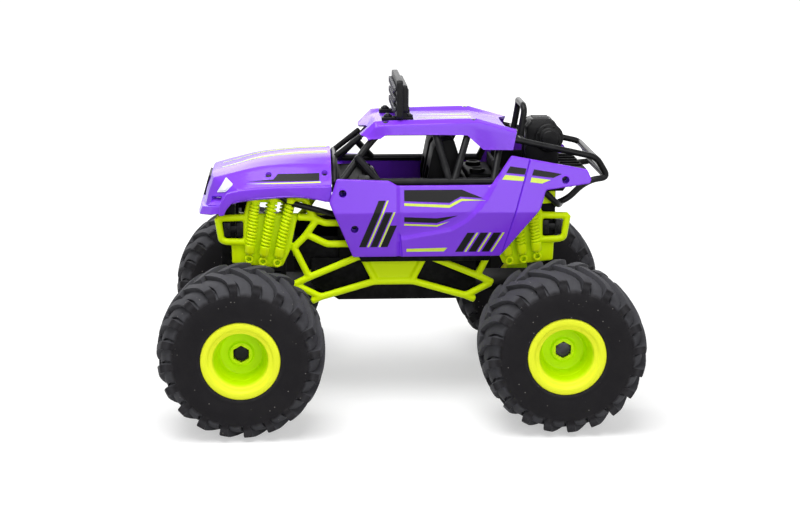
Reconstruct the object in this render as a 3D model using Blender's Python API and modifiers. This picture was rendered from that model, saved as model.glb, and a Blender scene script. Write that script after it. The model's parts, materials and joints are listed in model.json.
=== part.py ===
"""Remote-control monster truck: two moulded side frames with dummy coil-over dampers, a plastic tub
between them, a steered front axle, a motor-driven rear axle, four big lugged tyres and a caged body.

Metres, +Z up. The nose points to -X and the left side of the truck faces -Y. The origin lies on the
ground, midway between the four wheels. Heights below are taken from the axle line, which an empty
lifts to its place, so the tyre radius alone sets how high the truck stands.
"""

import math

import bmesh
import bpy
from mathutils import Matrix, Vector

MM = 0.001

# Driving dimensions
WHEELBASE = 250 * MM
TRACK = 221 * MM
TYRE_RADIUS = 65 * MM
TYRE_WIDTH = 69 * MM
RIM_RADIUS = 30.5 * MM
STEERING_ROOM = 22 * MM
FRAME_THICK = 8 * MM
FIT = 0.3 * MM
RUNNING_FIT = 0.5 * MM

# Places that follow from them
FRONT_X = -WHEELBASE / 2
REAR_X = WHEELBASE / 2
WHEEL_Y = TRACK / 2
FRAME_OUT = WHEEL_Y - TYRE_WIDTH / 2 - STEERING_ROOM
FRAME_IN = FRAME_OUT - FRAME_THICK
CHASSIS_HALF = FRAME_IN - FIT
FRAME_MID_X = -3.5 * MM
REAR_TOWER_X = REAR_X - 7 * MM

# Wheels and tyres
LUGS_PER_SIDE = 18
LUG_HEIGHT = 4 * MM
LUG_WIDTH = 5.2 * MM
LUG_SWEEP = math.radians(15)
WHEEL_STEPS = 16
HEX_ACROSS_FLATS = 12 * MM
HUB_BACK = 5.5 * MM
HUB_FACE = 10.5 * MM
HUB_RING = 13.5 * MM
RIM_WALL = 4 * MM
SHAFT_RADIUS = 3 * MM
SPINDLE_RADIUS = HEX_ACROSS_FLATS / 2 - RUNNING_FIT

# Steering
KINGPIN_Y = WHEEL_Y - 24.5 * MM
KINGPIN_RADIUS = 2.5 * MM
KNUCKLE_HALF = 9.8 * MM
EAR_THICK = 3.6 * MM
STEERING_ARM = 14 * MM
LINK_HALF = 4 * MM
LINK_PIN_RADIUS = 2 * MM
LINK_LOW = 9 * MM
LINK_THICK = 4 * MM
HORN_THICK = 3.5 * MM
SERVO_SHAFT_RADIUS = 2.5 * MM

# Drive
MODULE = 1.15 * MM
GEAR_TEETH = 30
PINION_TEETH = 10
TOOTH_SHARE = 0.40
GEAR_HALF_WIDTH = 4.5 * MM
GEAR_DISTANCE = MODULE * (GEAR_TEETH + PINION_TEETH) / 2
PINION_RISE = math.radians(25)
GEAR_CAVITY = MODULE * (GEAR_TEETH / 2 + 1) + 1.2 * MM
PINION_CAVITY = MODULE * (PINION_TEETH / 2 + 1) + 1.2 * MM
GEARBOX_WALL = 2.5 * MM
GEARBOX_HALF = 6 * MM
AXLE_TUBE_RADIUS = 6.5 * MM
MOTOR_RADIUS = 12.2 * MM
MOTOR_LENGTH = 30.8 * MM
MOTOR_SHAFT_RADIUS = 1 * MM

# Chassis tub and what it holds
TUB_FLOOR = 22 * MM
TUB_WALL = 2.5 * MM
FLOOR_THICK = 3 * MM
FRONT_DECK_LOW = 23 * MM
REAR_DECK_LOW = GEAR_CAVITY + GEARBOX_WALL + 2.4 * MM
TOWER_TOP = 109.8 * MM
DECK_THICK = 4 * MM
DECK_HALF = 30 * MM
BULKHEAD_THICK = 11 * MM
FRONT_BULKHEAD_TOP = 107 * MM
REAR_BULKHEAD_TOP = 111.7 * MM
BAY_CENTRE_X = -5.5 * MM
CELL_RADIUS = 9.2 * MM
CELL_LENGTH = 65 * MM
DOOR_THICK = 2.5 * MM
SWITCH_X = 38.5 * MM
SWITCH_TRAVEL = 4 * MM
BOARD_LOW = TUB_FLOOR + DOOR_THICK + 2 * CELL_RADIUS + 4.6 * MM
BOARD_THICK = 1.6 * MM
TALLEST_CHIP = 6 * MM
TUB_TOP = BOARD_LOW + BOARD_THICK + TALLEST_CHIP + 1.9 * MM

# Dampers
SHOCK_RADIUS = 4.2 * MM
COIL_WIRE = 0.85 * MM
COIL_TURNS = 3
COIL_POINTS = 8
POCKET_DEPTH = 3.7 * MM
SHOCK_Y = FRAME_OUT - POCKET_DEPTH + FIT + SHOCK_RADIUS
# Foot and head of each damper from the front axle, in millimetres
SHOCK_LINES = (((5.1, 58.9), (10.7, 106)), ((16.2, 56.8), (25, 106)), ((27.8, 55.6), (38.5, 104)))

# Body
SKIN = 2.2 * MM
PANEL_OUT = SHOCK_Y + SHOCK_RADIUS + 3.5 * MM
PANEL_BULGE = 3.5 * MM
PANEL_STEP = 1.5 * MM
STEP_RUN = 2 * MM
WAIST = 98 * MM
SILL = 61.6 * MM
BELT = 119 * MM
CAB_FRONT_X = -53.5 * MM
TUBE = 2.6 * MM
CAGE_Y = PANEL_OUT - 5.5 * MM
CAGE_TOP_Y = CAGE_Y - 20.8 * MM
ROOF_FLAT = 167 * MM
ROOF_RAIL = 158 * MM
BELT_RAIL = BELT + 2.3 * MM
REAR_DECK_HALF = FRAME_OUT - 1.2 * MM
RACK_Y = CAGE_TOP_Y + 3.8 * MM
ROOF_END_X = 97 * MM
BAR_HALF = 34 * MM

PARTS = "rc_monster_truck"


def clear_scene():
    for item in list(bpy.data.objects):
        bpy.data.objects.remove(item)


def material(name, colour, roughness, metallic=0.0):
    """A Principled material of that name, made on its first use."""
    found = bpy.data.materials.get(name)
    if found:
        return found
    made = bpy.data.materials.new(name)
    made.use_nodes = True
    shader = made.node_tree.nodes["Principled BSDF"]
    shader.inputs["Base Color"].default_value = (*colour, 1.0)
    shader.inputs["Roughness"].default_value = roughness
    shader.inputs["Metallic"].default_value = metallic
    return made


def purple():
    return material("purple_shell", (0.22, 0.06, 0.80), 0.25)


def lime():
    return material("lime_plastic", (0.42, 0.58, 0.01), 0.35)


def black():
    return material("black_plastic", (0.03, 0.03, 0.035), 0.5)


def rubber():
    return material("tyre_rubber", (0.02, 0.02, 0.022), 0.75)


def steel():
    return material("steel", (0.55, 0.56, 0.58), 0.3, 1.0)


def clear_white():
    return material("lamp_lens", (0.85, 0.88, 0.9), 0.15)


def green_board():
    return material("circuit_board", (0.02, 0.16, 0.06), 0.5)


def cell_wrap():
    return material("battery_wrap", (0.05, 0.10, 0.45), 0.4)


def nylon():
    return material("white_nylon", (0.78, 0.78, 0.74), 0.5)


def datum():
    """The empty on the axle line that carries every piece."""
    found = bpy.data.objects.get("axle_line")
    if not found:
        found = bpy.data.objects.new("axle_line", None)
        found.location.z = TYRE_RADIUS
        bpy.data.collections[PARTS].objects.link(found)
    return found


def loose(mesh):
    """A nameless object for a mesh that is still being worked on."""
    made = bpy.data.objects.new("blank", mesh)
    bpy.data.collections["workshop"].objects.link(made)
    return made


def tidied(mesh):
    """The mesh with touching points joined and its faces turned outwards."""
    work = bmesh.new()
    work.from_mesh(mesh)
    bmesh.ops.remove_doubles(work, verts=work.verts, dist=1e-6)
    bmesh.ops.recalc_face_normals(work, faces=work.faces)
    work.to_mesh(mesh)
    work.free()
    return mesh


def baked(item):
    """A plain mesh object in place of one with modifiers or a curve."""
    bpy.context.view_layer.update()
    graph = bpy.context.evaluated_depsgraph_get()
    mesh = bpy.data.meshes.new_from_object(item.evaluated_get(graph))
    mesh.transform(item.matrix_world)
    bpy.data.objects.remove(item)
    return loose(tidied(mesh))


def boolean(target, others, operation):
    for other in others:
        modifier = target.modifiers.new(operation, "BOOLEAN")
        modifier.operation = operation
        modifier.solver = "EXACT"
        modifier.object = other
        target = baked(target)
        bpy.data.objects.remove(other)
    return target


def union(target, *others):
    return boolean(target, others, "UNION")


def cut(target, *others):
    return boolean(target, others, "DIFFERENCE")


def from_bmesh(work):
    mesh = bpy.data.meshes.new("blank")
    work.to_mesh(mesh)
    work.free()
    return loose(tidied(mesh))


def box(low, high):
    work = bmesh.new()
    bmesh.ops.create_cube(work, size=1)
    low = Vector(low)
    high = Vector(high)
    size = Matrix.Diagonal((*(high - low), 1))
    bmesh.ops.transform(work, matrix=Matrix.Translation((low + high) / 2) @ size, verts=work.verts)
    return from_bmesh(work)


def rod(start, end, radius, sides=12):
    """A cylinder from one point to another."""
    start = Vector(start)
    end = Vector(end)
    work = bmesh.new()
    bmesh.ops.create_cone(work, cap_ends=True, segments=sides, radius1=radius, radius2=radius,
                          depth=(end - start).length)
    turn = Vector((0, 0, 1)).rotation_difference(end - start).to_matrix().to_4x4()
    bmesh.ops.transform(work, matrix=Matrix.Translation((start + end) / 2) @ turn, verts=work.verts)
    return from_bmesh(work)


PLANES = {
    "X": Matrix(((0, 0, 1, 0), (1, 0, 0, 0), (0, 1, 0, 0), (0, 0, 0, 1))),
    "Y": Matrix(((1, 0, 0, 0), (0, 0, 1, 0), (0, 1, 0, 0), (0, 0, 0, 1))),
    "Z": Matrix.Identity(4),
}


def prism(outline, axis, low, high, holes=()):
    """A flat outline with holes, extruded along an axis: (y, z) for X, (x, z) for Y, (x, y) for Z."""
    curve = bpy.data.curves.new("outline", "CURVE")
    curve.dimensions = "2D"
    curve.fill_mode = "BOTH"
    curve.extrude = (high - low) / 2
    for loop in (outline, *holes):
        spline = curve.splines.new("POLY")
        spline.points.add(len(loop) - 1)
        for point, (u, v) in zip(spline.points, loop):
            point.co = (u, v, 0, 1)
        spline.use_cyclic_u = True
    item = loose(curve)
    shift = Vector((0, 0, (low + high) / 2))
    item.matrix_world = PLANES[axis] @ Matrix.Translation(shift)
    return baked(item)


def tube(points, radius, resolution=1):
    """A round bar bent through the points, with closed ends."""
    curve = bpy.data.curves.new("bar", "CURVE")
    curve.dimensions = "3D"
    curve.bevel_depth = radius
    curve.bevel_resolution = resolution
    curve.use_fill_caps = True
    spline = curve.splines.new("POLY")
    spline.points.add(len(points) - 1)
    for point, place in zip(spline.points, points):
        point.co = (*place, 1)
    return baked(loose(curve))


def turned(profile, steps, matrix=Matrix.Identity(4), closed=True):
    """A profile of (radius, height) turned round Z, then placed by the matrix."""
    work = bmesh.new()
    points = [work.verts.new((radius, 0, height)) for radius, height in profile]
    for first, second in zip(points, points[1:] + points[:1] if closed else points[1:]):
        work.edges.new((first, second))
    mesh = bpy.data.meshes.new("profile")
    work.to_mesh(mesh)
    work.free()
    item = loose(mesh)
    screw = item.modifiers.new("turn", "SCREW")
    screw.steps = steps
    screw.render_steps = steps
    screw.use_merge_vertices = True
    screw.merge_threshold = 1e-6
    item.matrix_world = matrix
    return baked(item)


def loft(sections):
    """A solid through loops of equally many points, closed by its first and last loop."""
    work = bmesh.new()
    rings = [[work.verts.new(point) for point in section] for section in sections]
    count = len(rings[0])
    for ring, following in zip(rings, rings[1:]):
        for i in range(count):
            j = (i + 1) % count
            work.faces.new((ring[i], ring[j], following[j], following[i]))
    work.faces.new(rings[0])
    work.faces.new(rings[-1])
    return from_bmesh(work)


def shell(rows, thickness):
    """A moulded skin: rows of points from the middle plane out to the right, mirrored and thickened."""
    work = bmesh.new()
    grid = [[work.verts.new(point) for point in row] for row in rows]
    for row, following in zip(grid, grid[1:]):
        for i in range(len(row) - 1):
            work.faces.new((row[i], row[i + 1], following[i + 1], following[i]))
    work.normal_update()
    if sum(face.normal.z for face in work.faces) < 0:
        bmesh.ops.reverse_faces(work, faces=work.faces)
    mesh = bpy.data.meshes.new("skin")
    work.to_mesh(mesh)
    work.free()
    item = loose(mesh)
    mirror = item.modifiers.new("mirror", "MIRROR")
    mirror.use_axis = (False, True, False)
    mirror.merge_threshold = 1e-5
    solid = item.modifiers.new("thickness", "SOLIDIFY")
    solid.thickness = thickness
    solid.offset = -1
    solid.use_even_offset = True
    return baked(item)


def piece(name, item, coat, origin=(0, 0, 0)):
    """Names a finished solid, puts its origin on the given point and hangs it on the axle line."""
    item.name = name
    item.data.name = name
    item.data.transform(Matrix.Translation(-Vector(origin)))
    item.location = origin
    item.parent = datum()
    item.data.materials.clear()
    item.data.materials.append(coat)
    item.data.shade_smooth()
    item.data.set_sharp_from_angle(angle=math.radians(35))
    bpy.data.collections["workshop"].objects.unlink(item)
    bpy.data.collections[PARTS].objects.link(item)
    return item


def mirrored(item, name):
    """The same piece for the other side of the truck."""
    mesh = item.data.copy()
    mesh.transform(Matrix.Diagonal((1, -1, 1, 1)))
    mesh.flip_normals()
    made = item.copy()
    made.data = mesh
    made.name = name
    mesh.name = name
    made.location.y = -item.location.y
    bpy.data.collections[PARTS].objects.link(made)
    return made


def both(name, item, coat, origin=(0, 0, 0)):
    """A left piece and its mirrored right one."""
    left = piece(f"left_{name}", item, coat, origin)
    return left, mirrored(left, f"right_{name}")


def scaled(points):
    """Millimetre pairs in metres."""
    return [(u * MM, v * MM) for u, v in points]


def arc(centre, radius, start, end, count):
    """Points along an arc, angles in degrees."""
    steps = [math.radians(start + (end - start) * i / (count - 1)) for i in range(count)]
    return [(centre[0] + radius * math.cos(a), centre[1] + radius * math.sin(a)) for a in steps]


def circle(centre, radius, count=10):
    return arc(centre, radius, 0, 360, count + 1)[:-1]


def stadium(start, end, radius, count=5):
    """A bar outline with round ends between two points."""
    angle = math.degrees(math.atan2(end[1] - start[1], end[0] - start[0]))
    far_end = arc(end, radius, angle - 90, angle + 90, count)
    near_end = arc(start, radius, angle + 90, angle + 270, count)
    return far_end + near_end


def belt_round(first, first_radius, second, second_radius, count=12):
    """The outline of a belt round two pulleys."""
    gap = math.dist(first, second)
    along = math.degrees(math.atan2(second[1] - first[1], second[0] - first[0]))
    lean = math.degrees(math.acos((first_radius - second_radius) / gap))
    big = arc(first, first_radius, along + lean, along + 360 - lean, count)
    small = arc(second, second_radius, along - lean, along + lean, count // 2)
    return big + small


# Wheels

TO_LEFT_AXLE = Matrix.Rotation(math.radians(90), 4, "X")
TYRE_CROWN = TYRE_RADIUS - LUG_HEIGHT
TYRE_SEAT = RIM_RADIUS + FIT


def tread_point(angle, radius, offset, share, edge):
    """A point on one edge of a tread bar, swept round by its share of the bar's sweep."""
    turn = angle + LUG_SWEEP * share + edge * LUG_WIDTH / 2 / radius
    return (radius * math.cos(turn), radius * math.sin(turn), offset)


def tyre():
    """Flat sidewalls and a crown with two staggered rows of swept tread bars hooked over the shoulders."""
    half = TYRE_WIDTH / 2
    pitch = 2 * math.pi / LUGS_PER_SIDE
    # Name: radius, distance from the middle plane, share of the sweep
    places = {
        "seat": (TYRE_SEAT, half - 1 * MM, 0),
        "wall": (TYRE_CROWN - 14.5 * MM, half, 0),
        "crown": (TYRE_CROWN, half - 10 * MM, 0.3),
        "middle": (TYRE_CROWN, 0, 1),
        "hook": (TYRE_CROWN - 3 * MM, half - 0.6 * MM, 0),
        "bend": (TYRE_RADIUS - 0.6 * MM, half - 9.5 * MM, 0.35),
        "tip": (TYRE_RADIUS, 0.2 * MM, 1),
    }
    work = bmesh.new()
    points = {}
    for side in (1, -1):
        for bar in range(LUGS_PER_SIDE):
            for edge in (-1, 1):
                for name, (radius, offset, share) in places.items():
                    start = pitch * (bar if name == "seat" else bar + side / 4)
                    place = tread_point(start, radius, side * offset, share, edge)
                    points[side, bar, edge, name] = work.verts.new(place)

    def face(*keys):
        work.faces.new([points[key] for key in keys])

    for side in (1, -1):
        for bar in range(LUGS_PER_SIDE):
            left = (side, bar, -1)
            right = (side, bar, 1)
            after = (side, (bar + 1) % LUGS_PER_SIDE, -1)
            facing = (bar + 1 if side > 0 else bar) % LUGS_PER_SIDE
            ridge = ("seat", "wall", "hook", "bend", "tip", "middle")
            for low, high in zip(ridge, ridge[1:]):
                face((*left, low), (*right, low), (*right, high), (*left, high))
            for edge in (left, right):
                face(*((*edge, name) for name in ("wall", "crown", "middle", "tip", "bend", "hook")))
            for low, high in (("seat", "wall"), ("wall", "crown")):
                face((*right, low), (*after, low), (*after, high), (*right, high))
            face((*right, "crown"), (*after, "crown"), (*after, "middle"), (-side, facing, 1, "middle"),
                 (-side, facing, -1, "middle"), (*right, "middle"))
            if side > 0:
                for first, second in ((left, right), (right, after)):
                    across = ((-1, *second[1:], "seat"), (-1, *first[1:], "seat"))
                    face((*first, "seat"), (*second, "seat"), *across)
    bmesh.ops.triangulate(work, faces=work.faces)
    body = from_bmesh(work)
    body.data.transform(TO_LEFT_AXLE)
    return body


def hex_outline(across_flats):
    return circle((0, 0), across_flats / math.sqrt(3), 6)


def rim():
    """A deep-dish wheel: barrel, stepped ring, sloping dish, raised hub ring and hexagon hole."""
    edge = TYRE_WIDTH / 2 - 1 * MM
    lip = edge - 2 * MM
    profile = [
        (RIM_RADIUS, -edge), (RIM_RADIUS, edge),
        (RIM_RADIUS - 5 * MM, edge), (RIM_RADIUS - 7 * MM, lip), (RIM_RADIUS - 9.3 * MM, lip),
        (RIM_RADIUS - 14 * MM, HUB_FACE), (9.2 * MM, HUB_FACE), (8.5 * MM, HUB_RING),
        (SPINDLE_RADIUS, HUB_RING), (SPINDLE_RADIUS, HUB_BACK),
        (RIM_RADIUS - RIM_WALL, HUB_BACK), (RIM_RADIUS - RIM_WALL, -edge),
    ]
    body = turned(profile, WHEEL_STEPS)
    body = cut(body, prism(hex_outline(HEX_ACROSS_FLATS), "Z", HUB_BACK - 2 * MM, HUB_RING + 2 * MM))
    body.data.transform(TO_LEFT_AXLE)
    return body


def wheels():
    """Four wheels: the left pair from one mesh, the right pair mirrored."""
    patterns = (("tyre", tyre(), rubber()), ("rim", rim(), lime()))
    for name, pattern, coat in patterns:
        for end, x in (("front", FRONT_X), ("rear", REAR_X)):
            copy = loose(pattern.data.copy())
            left = piece(f"{end}_left_{name}", copy, coat)
            left.location = (x, -WHEEL_Y, 0)
            mirrored(left, f"{end}_right_{name}")
        bpy.data.objects.remove(pattern)


# Front axle and steering

EAR_LOW = KNUCKLE_HALF + FIT
EAR_HIGH = EAR_LOW + EAR_THICK
LINK_HIGH = LINK_LOW + LINK_THICK
HORN_LOW = LINK_HIGH + FIT
POST_Y = 22 * MM


def front_axle_beam():
    web = KINGPIN_Y - 9.5 * MM
    beam = box((FRONT_X - 6.5 * MM, -web, -6 * MM), (FRONT_X + 6.5 * MM, web, 6 * MM))
    for side in (-1, 1):
        pin = (FRONT_X, side * KINGPIN_Y)
        inner = (FRONT_X, side * (web - 1 * MM))
        bore = [circle(pin, KINGPIN_RADIUS + FIT, 8)]
        for low in (EAR_LOW, -EAR_HIGH):
            beam = union(beam, prism(stadium(inner, pin, 6.5 * MM, 3), "Z", low, low + EAR_THICK, bore))
        walls = sorted((side * (web - 4 * MM), side * web))
        beam = union(beam, box((FRONT_X - 6.2 * MM, walls[0], 0.5 * MM - EAR_HIGH),
                               (FRONT_X + 6.2 * MM, walls[1], EAR_HIGH - 0.5 * MM)))
        post = sorted((side * (POST_Y - 5 * MM), side * (POST_Y + 5 * MM)))
        beam = union(beam, box((FRONT_X - 6 * MM, post[0], 0),
                               (FRONT_X + 6 * MM, post[1], FRONT_DECK_LOW - FIT)))
    piece("front_axle_beam", beam, black())


def knuckles():
    """Steering knuckle with kingpins, spindle and steering arm, built for the left side."""
    pin = Vector((FRONT_X, -KINGPIN_Y, 0))
    hub_back = -(WHEEL_Y + HUB_BACK - RUNNING_FIT)
    spindle_end = -(WHEEL_Y + HUB_RING - 1.5 * MM)
    up = Vector((0, 0, 1))
    body = rod(pin - up * KNUCKLE_HALF, pin + up * KNUCKLE_HALF, 6.5 * MM, 10)
    body = union(body, rod(pin - up * EAR_HIGH, pin + up * EAR_HIGH, KINGPIN_RADIUS, 8))
    body = union(body, rod(pin, (FRONT_X, hub_back, 0), 8.2 * MM, 10))
    body = union(body, rod(pin, (FRONT_X, spindle_end, 0), SPINDLE_RADIUS))
    arm = stadium((FRONT_X, -KINGPIN_Y), (FRONT_X + STEERING_ARM, -KINGPIN_Y), 4 * MM)
    body = union(body, prism(arm, "Z", 4 * MM, LINK_LOW - FIT))
    link = pin + Vector((STEERING_ARM, 0, 0))
    body = union(body, rod(link + up * 5 * MM, link + up * (LINK_HIGH + 0.5 * MM), LINK_PIN_RADIUS, 10))
    both("knuckle", body, black(), pin)


def tie_rod():
    """A flat link whose three eyes sit on the two knuckle arms and the servo horn."""
    x = FRONT_X + STEERING_ARM
    eyes = [circle((x, y), LINK_PIN_RADIUS + FIT, 10) for y in (-KINGPIN_Y, 0, KINGPIN_Y)]
    body = prism(stadium((x, -KINGPIN_Y), (x, KINGPIN_Y), LINK_HALF), "Z", LINK_LOW, LINK_HIGH, eyes)
    piece("tie_rod", body, black(), (x, -KINGPIN_Y, LINK_LOW))


def servo_horn():
    reach = FRONT_X + STEERING_ARM
    bore = [circle((FRONT_X, 0), SERVO_SHAFT_RADIUS + FIT)]
    body = prism(stadium((FRONT_X, 0), (reach, 0), 4.5 * MM), "Z", HORN_LOW, HORN_LOW + HORN_THICK, bore)
    pin = rod((reach, 0, LINK_LOW + 0.5 * MM), (reach, 0, HORN_LOW + 1 * MM), LINK_PIN_RADIUS, 10)
    piece("servo_horn", union(body, pin), nylon(), (FRONT_X, 0, HORN_LOW))


def steering_servo():
    seat = FRONT_DECK_LOW + DECK_THICK + FIT
    body = box((FRONT_X - 5.5 * MM, -10 * MM, seat), (FRONT_X + 34 * MM, 10 * MM, seat + 36 * MM))
    ears = seat + 8 * MM
    flange = box((FRONT_X - 2 * MM, -16 * MM, ears), (FRONT_X + 30 * MM, 16 * MM, ears + 2.5 * MM))
    shaft = rod((FRONT_X, 0, HORN_LOW + 0.5 * MM), (FRONT_X, 0, seat + 2 * MM), SERVO_SHAFT_RADIUS, 12)
    piece("steering_servo", union(body, flange, shaft), black())


# Rear axle and drive

PINION_X = REAR_X - GEAR_DISTANCE * math.cos(PINION_RISE)
PINION_Z = GEAR_DISTANCE * math.sin(PINION_RISE)
COVER_LOW = GEARBOX_HALF + FIT
COVER_HIGH = COVER_LOW + GEARBOX_WALL


def involute(angle):
    return math.tan(angle) - angle


def gear_outline(teeth, centre, phase, flank_steps):
    """Involute teeth on a 20 degree pressure angle, slimmed by the backlash in TOOTH_SHARE."""
    pitch = MODULE * teeth / 2
    base = pitch * math.cos(math.radians(20))
    root = pitch - 1.2 * MODULE
    tip = pitch + 0.9 * MODULE
    half = math.pi * TOOTH_SHARE / teeth
    pitch_turn = involute(math.radians(20))
    flank = []
    for i in range(flank_steps + 1):
        radius = root + (tip - root) * i / flank_steps
        turn = involute(math.acos(min(1.0, base / radius)))
        flank.append((radius, half + pitch_turn - turn))
    tooth = [(radius, -spread) for radius, spread in flank]
    tooth += [(radius, spread) for radius, spread in reversed(flank)]
    points = []
    for number in range(teeth):
        middle = phase + 2 * math.pi * number / teeth
        for radius, spread in tooth:
            turn = middle + spread
            points.append((centre[0] + radius * math.cos(turn), centre[1] + radius * math.sin(turn)))
    return points


def gear_train():
    """The motor pinion in mesh with the gear on the axle: a pinion tooth lies in a gap of the gear."""
    toward_pinion = math.pi - PINION_RISE
    gear_phase = toward_pinion + math.pi / GEAR_TEETH
    pinion_phase = toward_pinion + math.pi
    axle = (REAR_X, 0)
    shaft = (PINION_X, PINION_Z)
    width = (-GEAR_HALF_WIDTH, GEAR_HALF_WIDTH)
    teeth = gear_outline(GEAR_TEETH, axle, gear_phase, 1)
    gear = prism(teeth, "Y", *width, [circle(axle, SHAFT_RADIUS + FIT)])
    piece("drive_gear", gear, nylon(), (REAR_X, 0, 0))
    teeth = gear_outline(PINION_TEETH, shaft, pinion_phase, 2)
    pinion = prism(teeth, "Y", *width, [circle(shaft, MOTOR_SHAFT_RADIUS + FIT, 8)])
    piece("motor_pinion", pinion, steel(), (PINION_X, 0, PINION_Z))


def rear_axle_shaft():
    end = WHEEL_Y + HUB_RING - 1.5 * MM
    inner = WHEEL_Y + HUB_BACK - RUNNING_FIT
    body = rod((REAR_X, -end, 0), (REAR_X, end, 0), SHAFT_RADIUS)
    flats = [(REAR_X + u, v) for u, v in hex_outline(HEX_ACROSS_FLATS - 2 * FIT)]
    for side in (-1, 1):
        span = sorted((side * inner, side * end))
        body = union(body, prism(flats, "Y", *span))
    piece("rear_axle_shaft", body, steel(), (REAR_X, 0, 0))


def rear_gearbox():
    axle = (REAR_X, 0)
    shaft = (PINION_X, PINION_Z)
    tube_end = WHEEL_Y + HUB_BACK - 2 * RUNNING_FIT
    outline = belt_round(axle, GEAR_CAVITY + GEARBOX_WALL, shaft, PINION_CAVITY + GEARBOX_WALL, 14)
    hollow = belt_round(axle, GEAR_CAVITY, shaft, PINION_CAVITY, 14)
    back = -(GEARBOX_HALF + GEARBOX_WALL)
    case = prism(outline, "Y", back, GEARBOX_HALF)
    pad = box((REAR_X - 11 * MM, back, GEAR_CAVITY - 3 * MM),
              (REAR_X + 11 * MM, GEARBOX_HALF, REAR_DECK_LOW - FIT))
    case = union(case, pad, rod((REAR_X, back + 1 * MM, 0), (REAR_X, -tube_end, 0), AXLE_TUBE_RADIUS))
    case = cut(case, prism(hollow, "Y", -GEARBOX_HALF, GEARBOX_HALF + 1 * MM))
    bore = rod((REAR_X, -2 * WHEEL_Y, 0), (REAR_X, 2 * WHEEL_Y, 0), SHAFT_RADIUS + FIT)
    piece("rear_gearbox_case", cut(case, bore), black())
    cover = prism(outline, "Y", COVER_LOW, COVER_HIGH, [circle(shaft, 3.4 * MM)])
    cover = union(cover, rod((REAR_X, COVER_HIGH - 1 * MM, 0), (REAR_X, tube_end, 0), AXLE_TUBE_RADIUS))
    bore = rod((REAR_X, -2 * WHEEL_Y, 0), (REAR_X, 2 * WHEEL_Y, 0), SHAFT_RADIUS + FIT)
    piece("rear_gearbox_cover", cut(cover, bore), black())


def drive_motor():
    start = COVER_HIGH + FIT
    end = start + MOTOR_LENGTH
    body = rod((PINION_X, start, PINION_Z), (PINION_X, end, PINION_Z), MOTOR_RADIUS, 20)
    boss = rod((PINION_X, COVER_LOW, PINION_Z), (PINION_X, start + 1 * MM, PINION_Z), 3 * MM, 12)
    tail = rod((PINION_X, end - 1 * MM, PINION_Z), (PINION_X, end + 2.5 * MM, PINION_Z), 4.5 * MM, 12)
    shaft = rod((PINION_X, 1 * MM - GEAR_HALF_WIDTH, PINION_Z), (PINION_X, start + 1 * MM, PINION_Z),
                MOTOR_SHAFT_RADIUS, 8)
    piece("drive_motor", union(body, boss, tail, shaft), steel())


# Chassis and what it holds

TUB_FRONT = FRONT_X + 55 * MM
TUB_REAR = REAR_X - 61 * MM
BAY_HALF_X = CELL_LENGTH / 2 + 1.5 * MM
BAY_HALF_Y = 2 * CELL_RADIUS + 1 * MM
FLOOR_TOP = TUB_FLOOR + FLOOR_THICK
SWITCH_HALF = 2.6 * MM
SLOT_HALF = SWITCH_HALF + SWITCH_TRAVEL / 2 + FIT
BOARD_HALF_X = 26 * MM
BOARD_HALF_Y = 30 * MM
STANDOFFS = [(BAY_CENTRE_X + x * MM, y * MM) for x in (-22, 22) for y in (-26, 26)]


def tub_outline(wall, floor):
    """Side view of the tub, drawn in by a wall and a floor thickness."""
    run = 22 * MM
    rise = 14 * MM
    front = TUB_FRONT + wall
    rear = TUB_REAR - wall
    return [(front, TUB_TOP + (5 * MM if wall else 0)), (front, TUB_FLOOR + rise + floor / 2),
            (TUB_FRONT + run, TUB_FLOOR + floor), (TUB_REAR - run + 6 * MM, TUB_FLOOR + floor),
            (rear, TUB_FLOOR + rise + floor / 2), (rear, TUB_TOP + (5 * MM if wall else 0))]


def bulkhead(x, low, top):
    """A cross wall with a lightening window, as wide as the gap between the side frames."""
    waist = DECK_HALF
    shoulder = low + 24 * MM
    half = CHASSIS_HALF
    outline = [(-waist, low), (waist, low), (half, shoulder), (half, top), (-half, top), (-half, shoulder)]
    gap = waist - 4 * MM
    sill = shoulder + 8 * MM
    head = top - 10 * MM
    window = [(-gap, sill), (gap, sill), (gap, head), (-gap, head)]
    return prism(outline, "X", x, x + BULKHEAD_THICK, [window])


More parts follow.
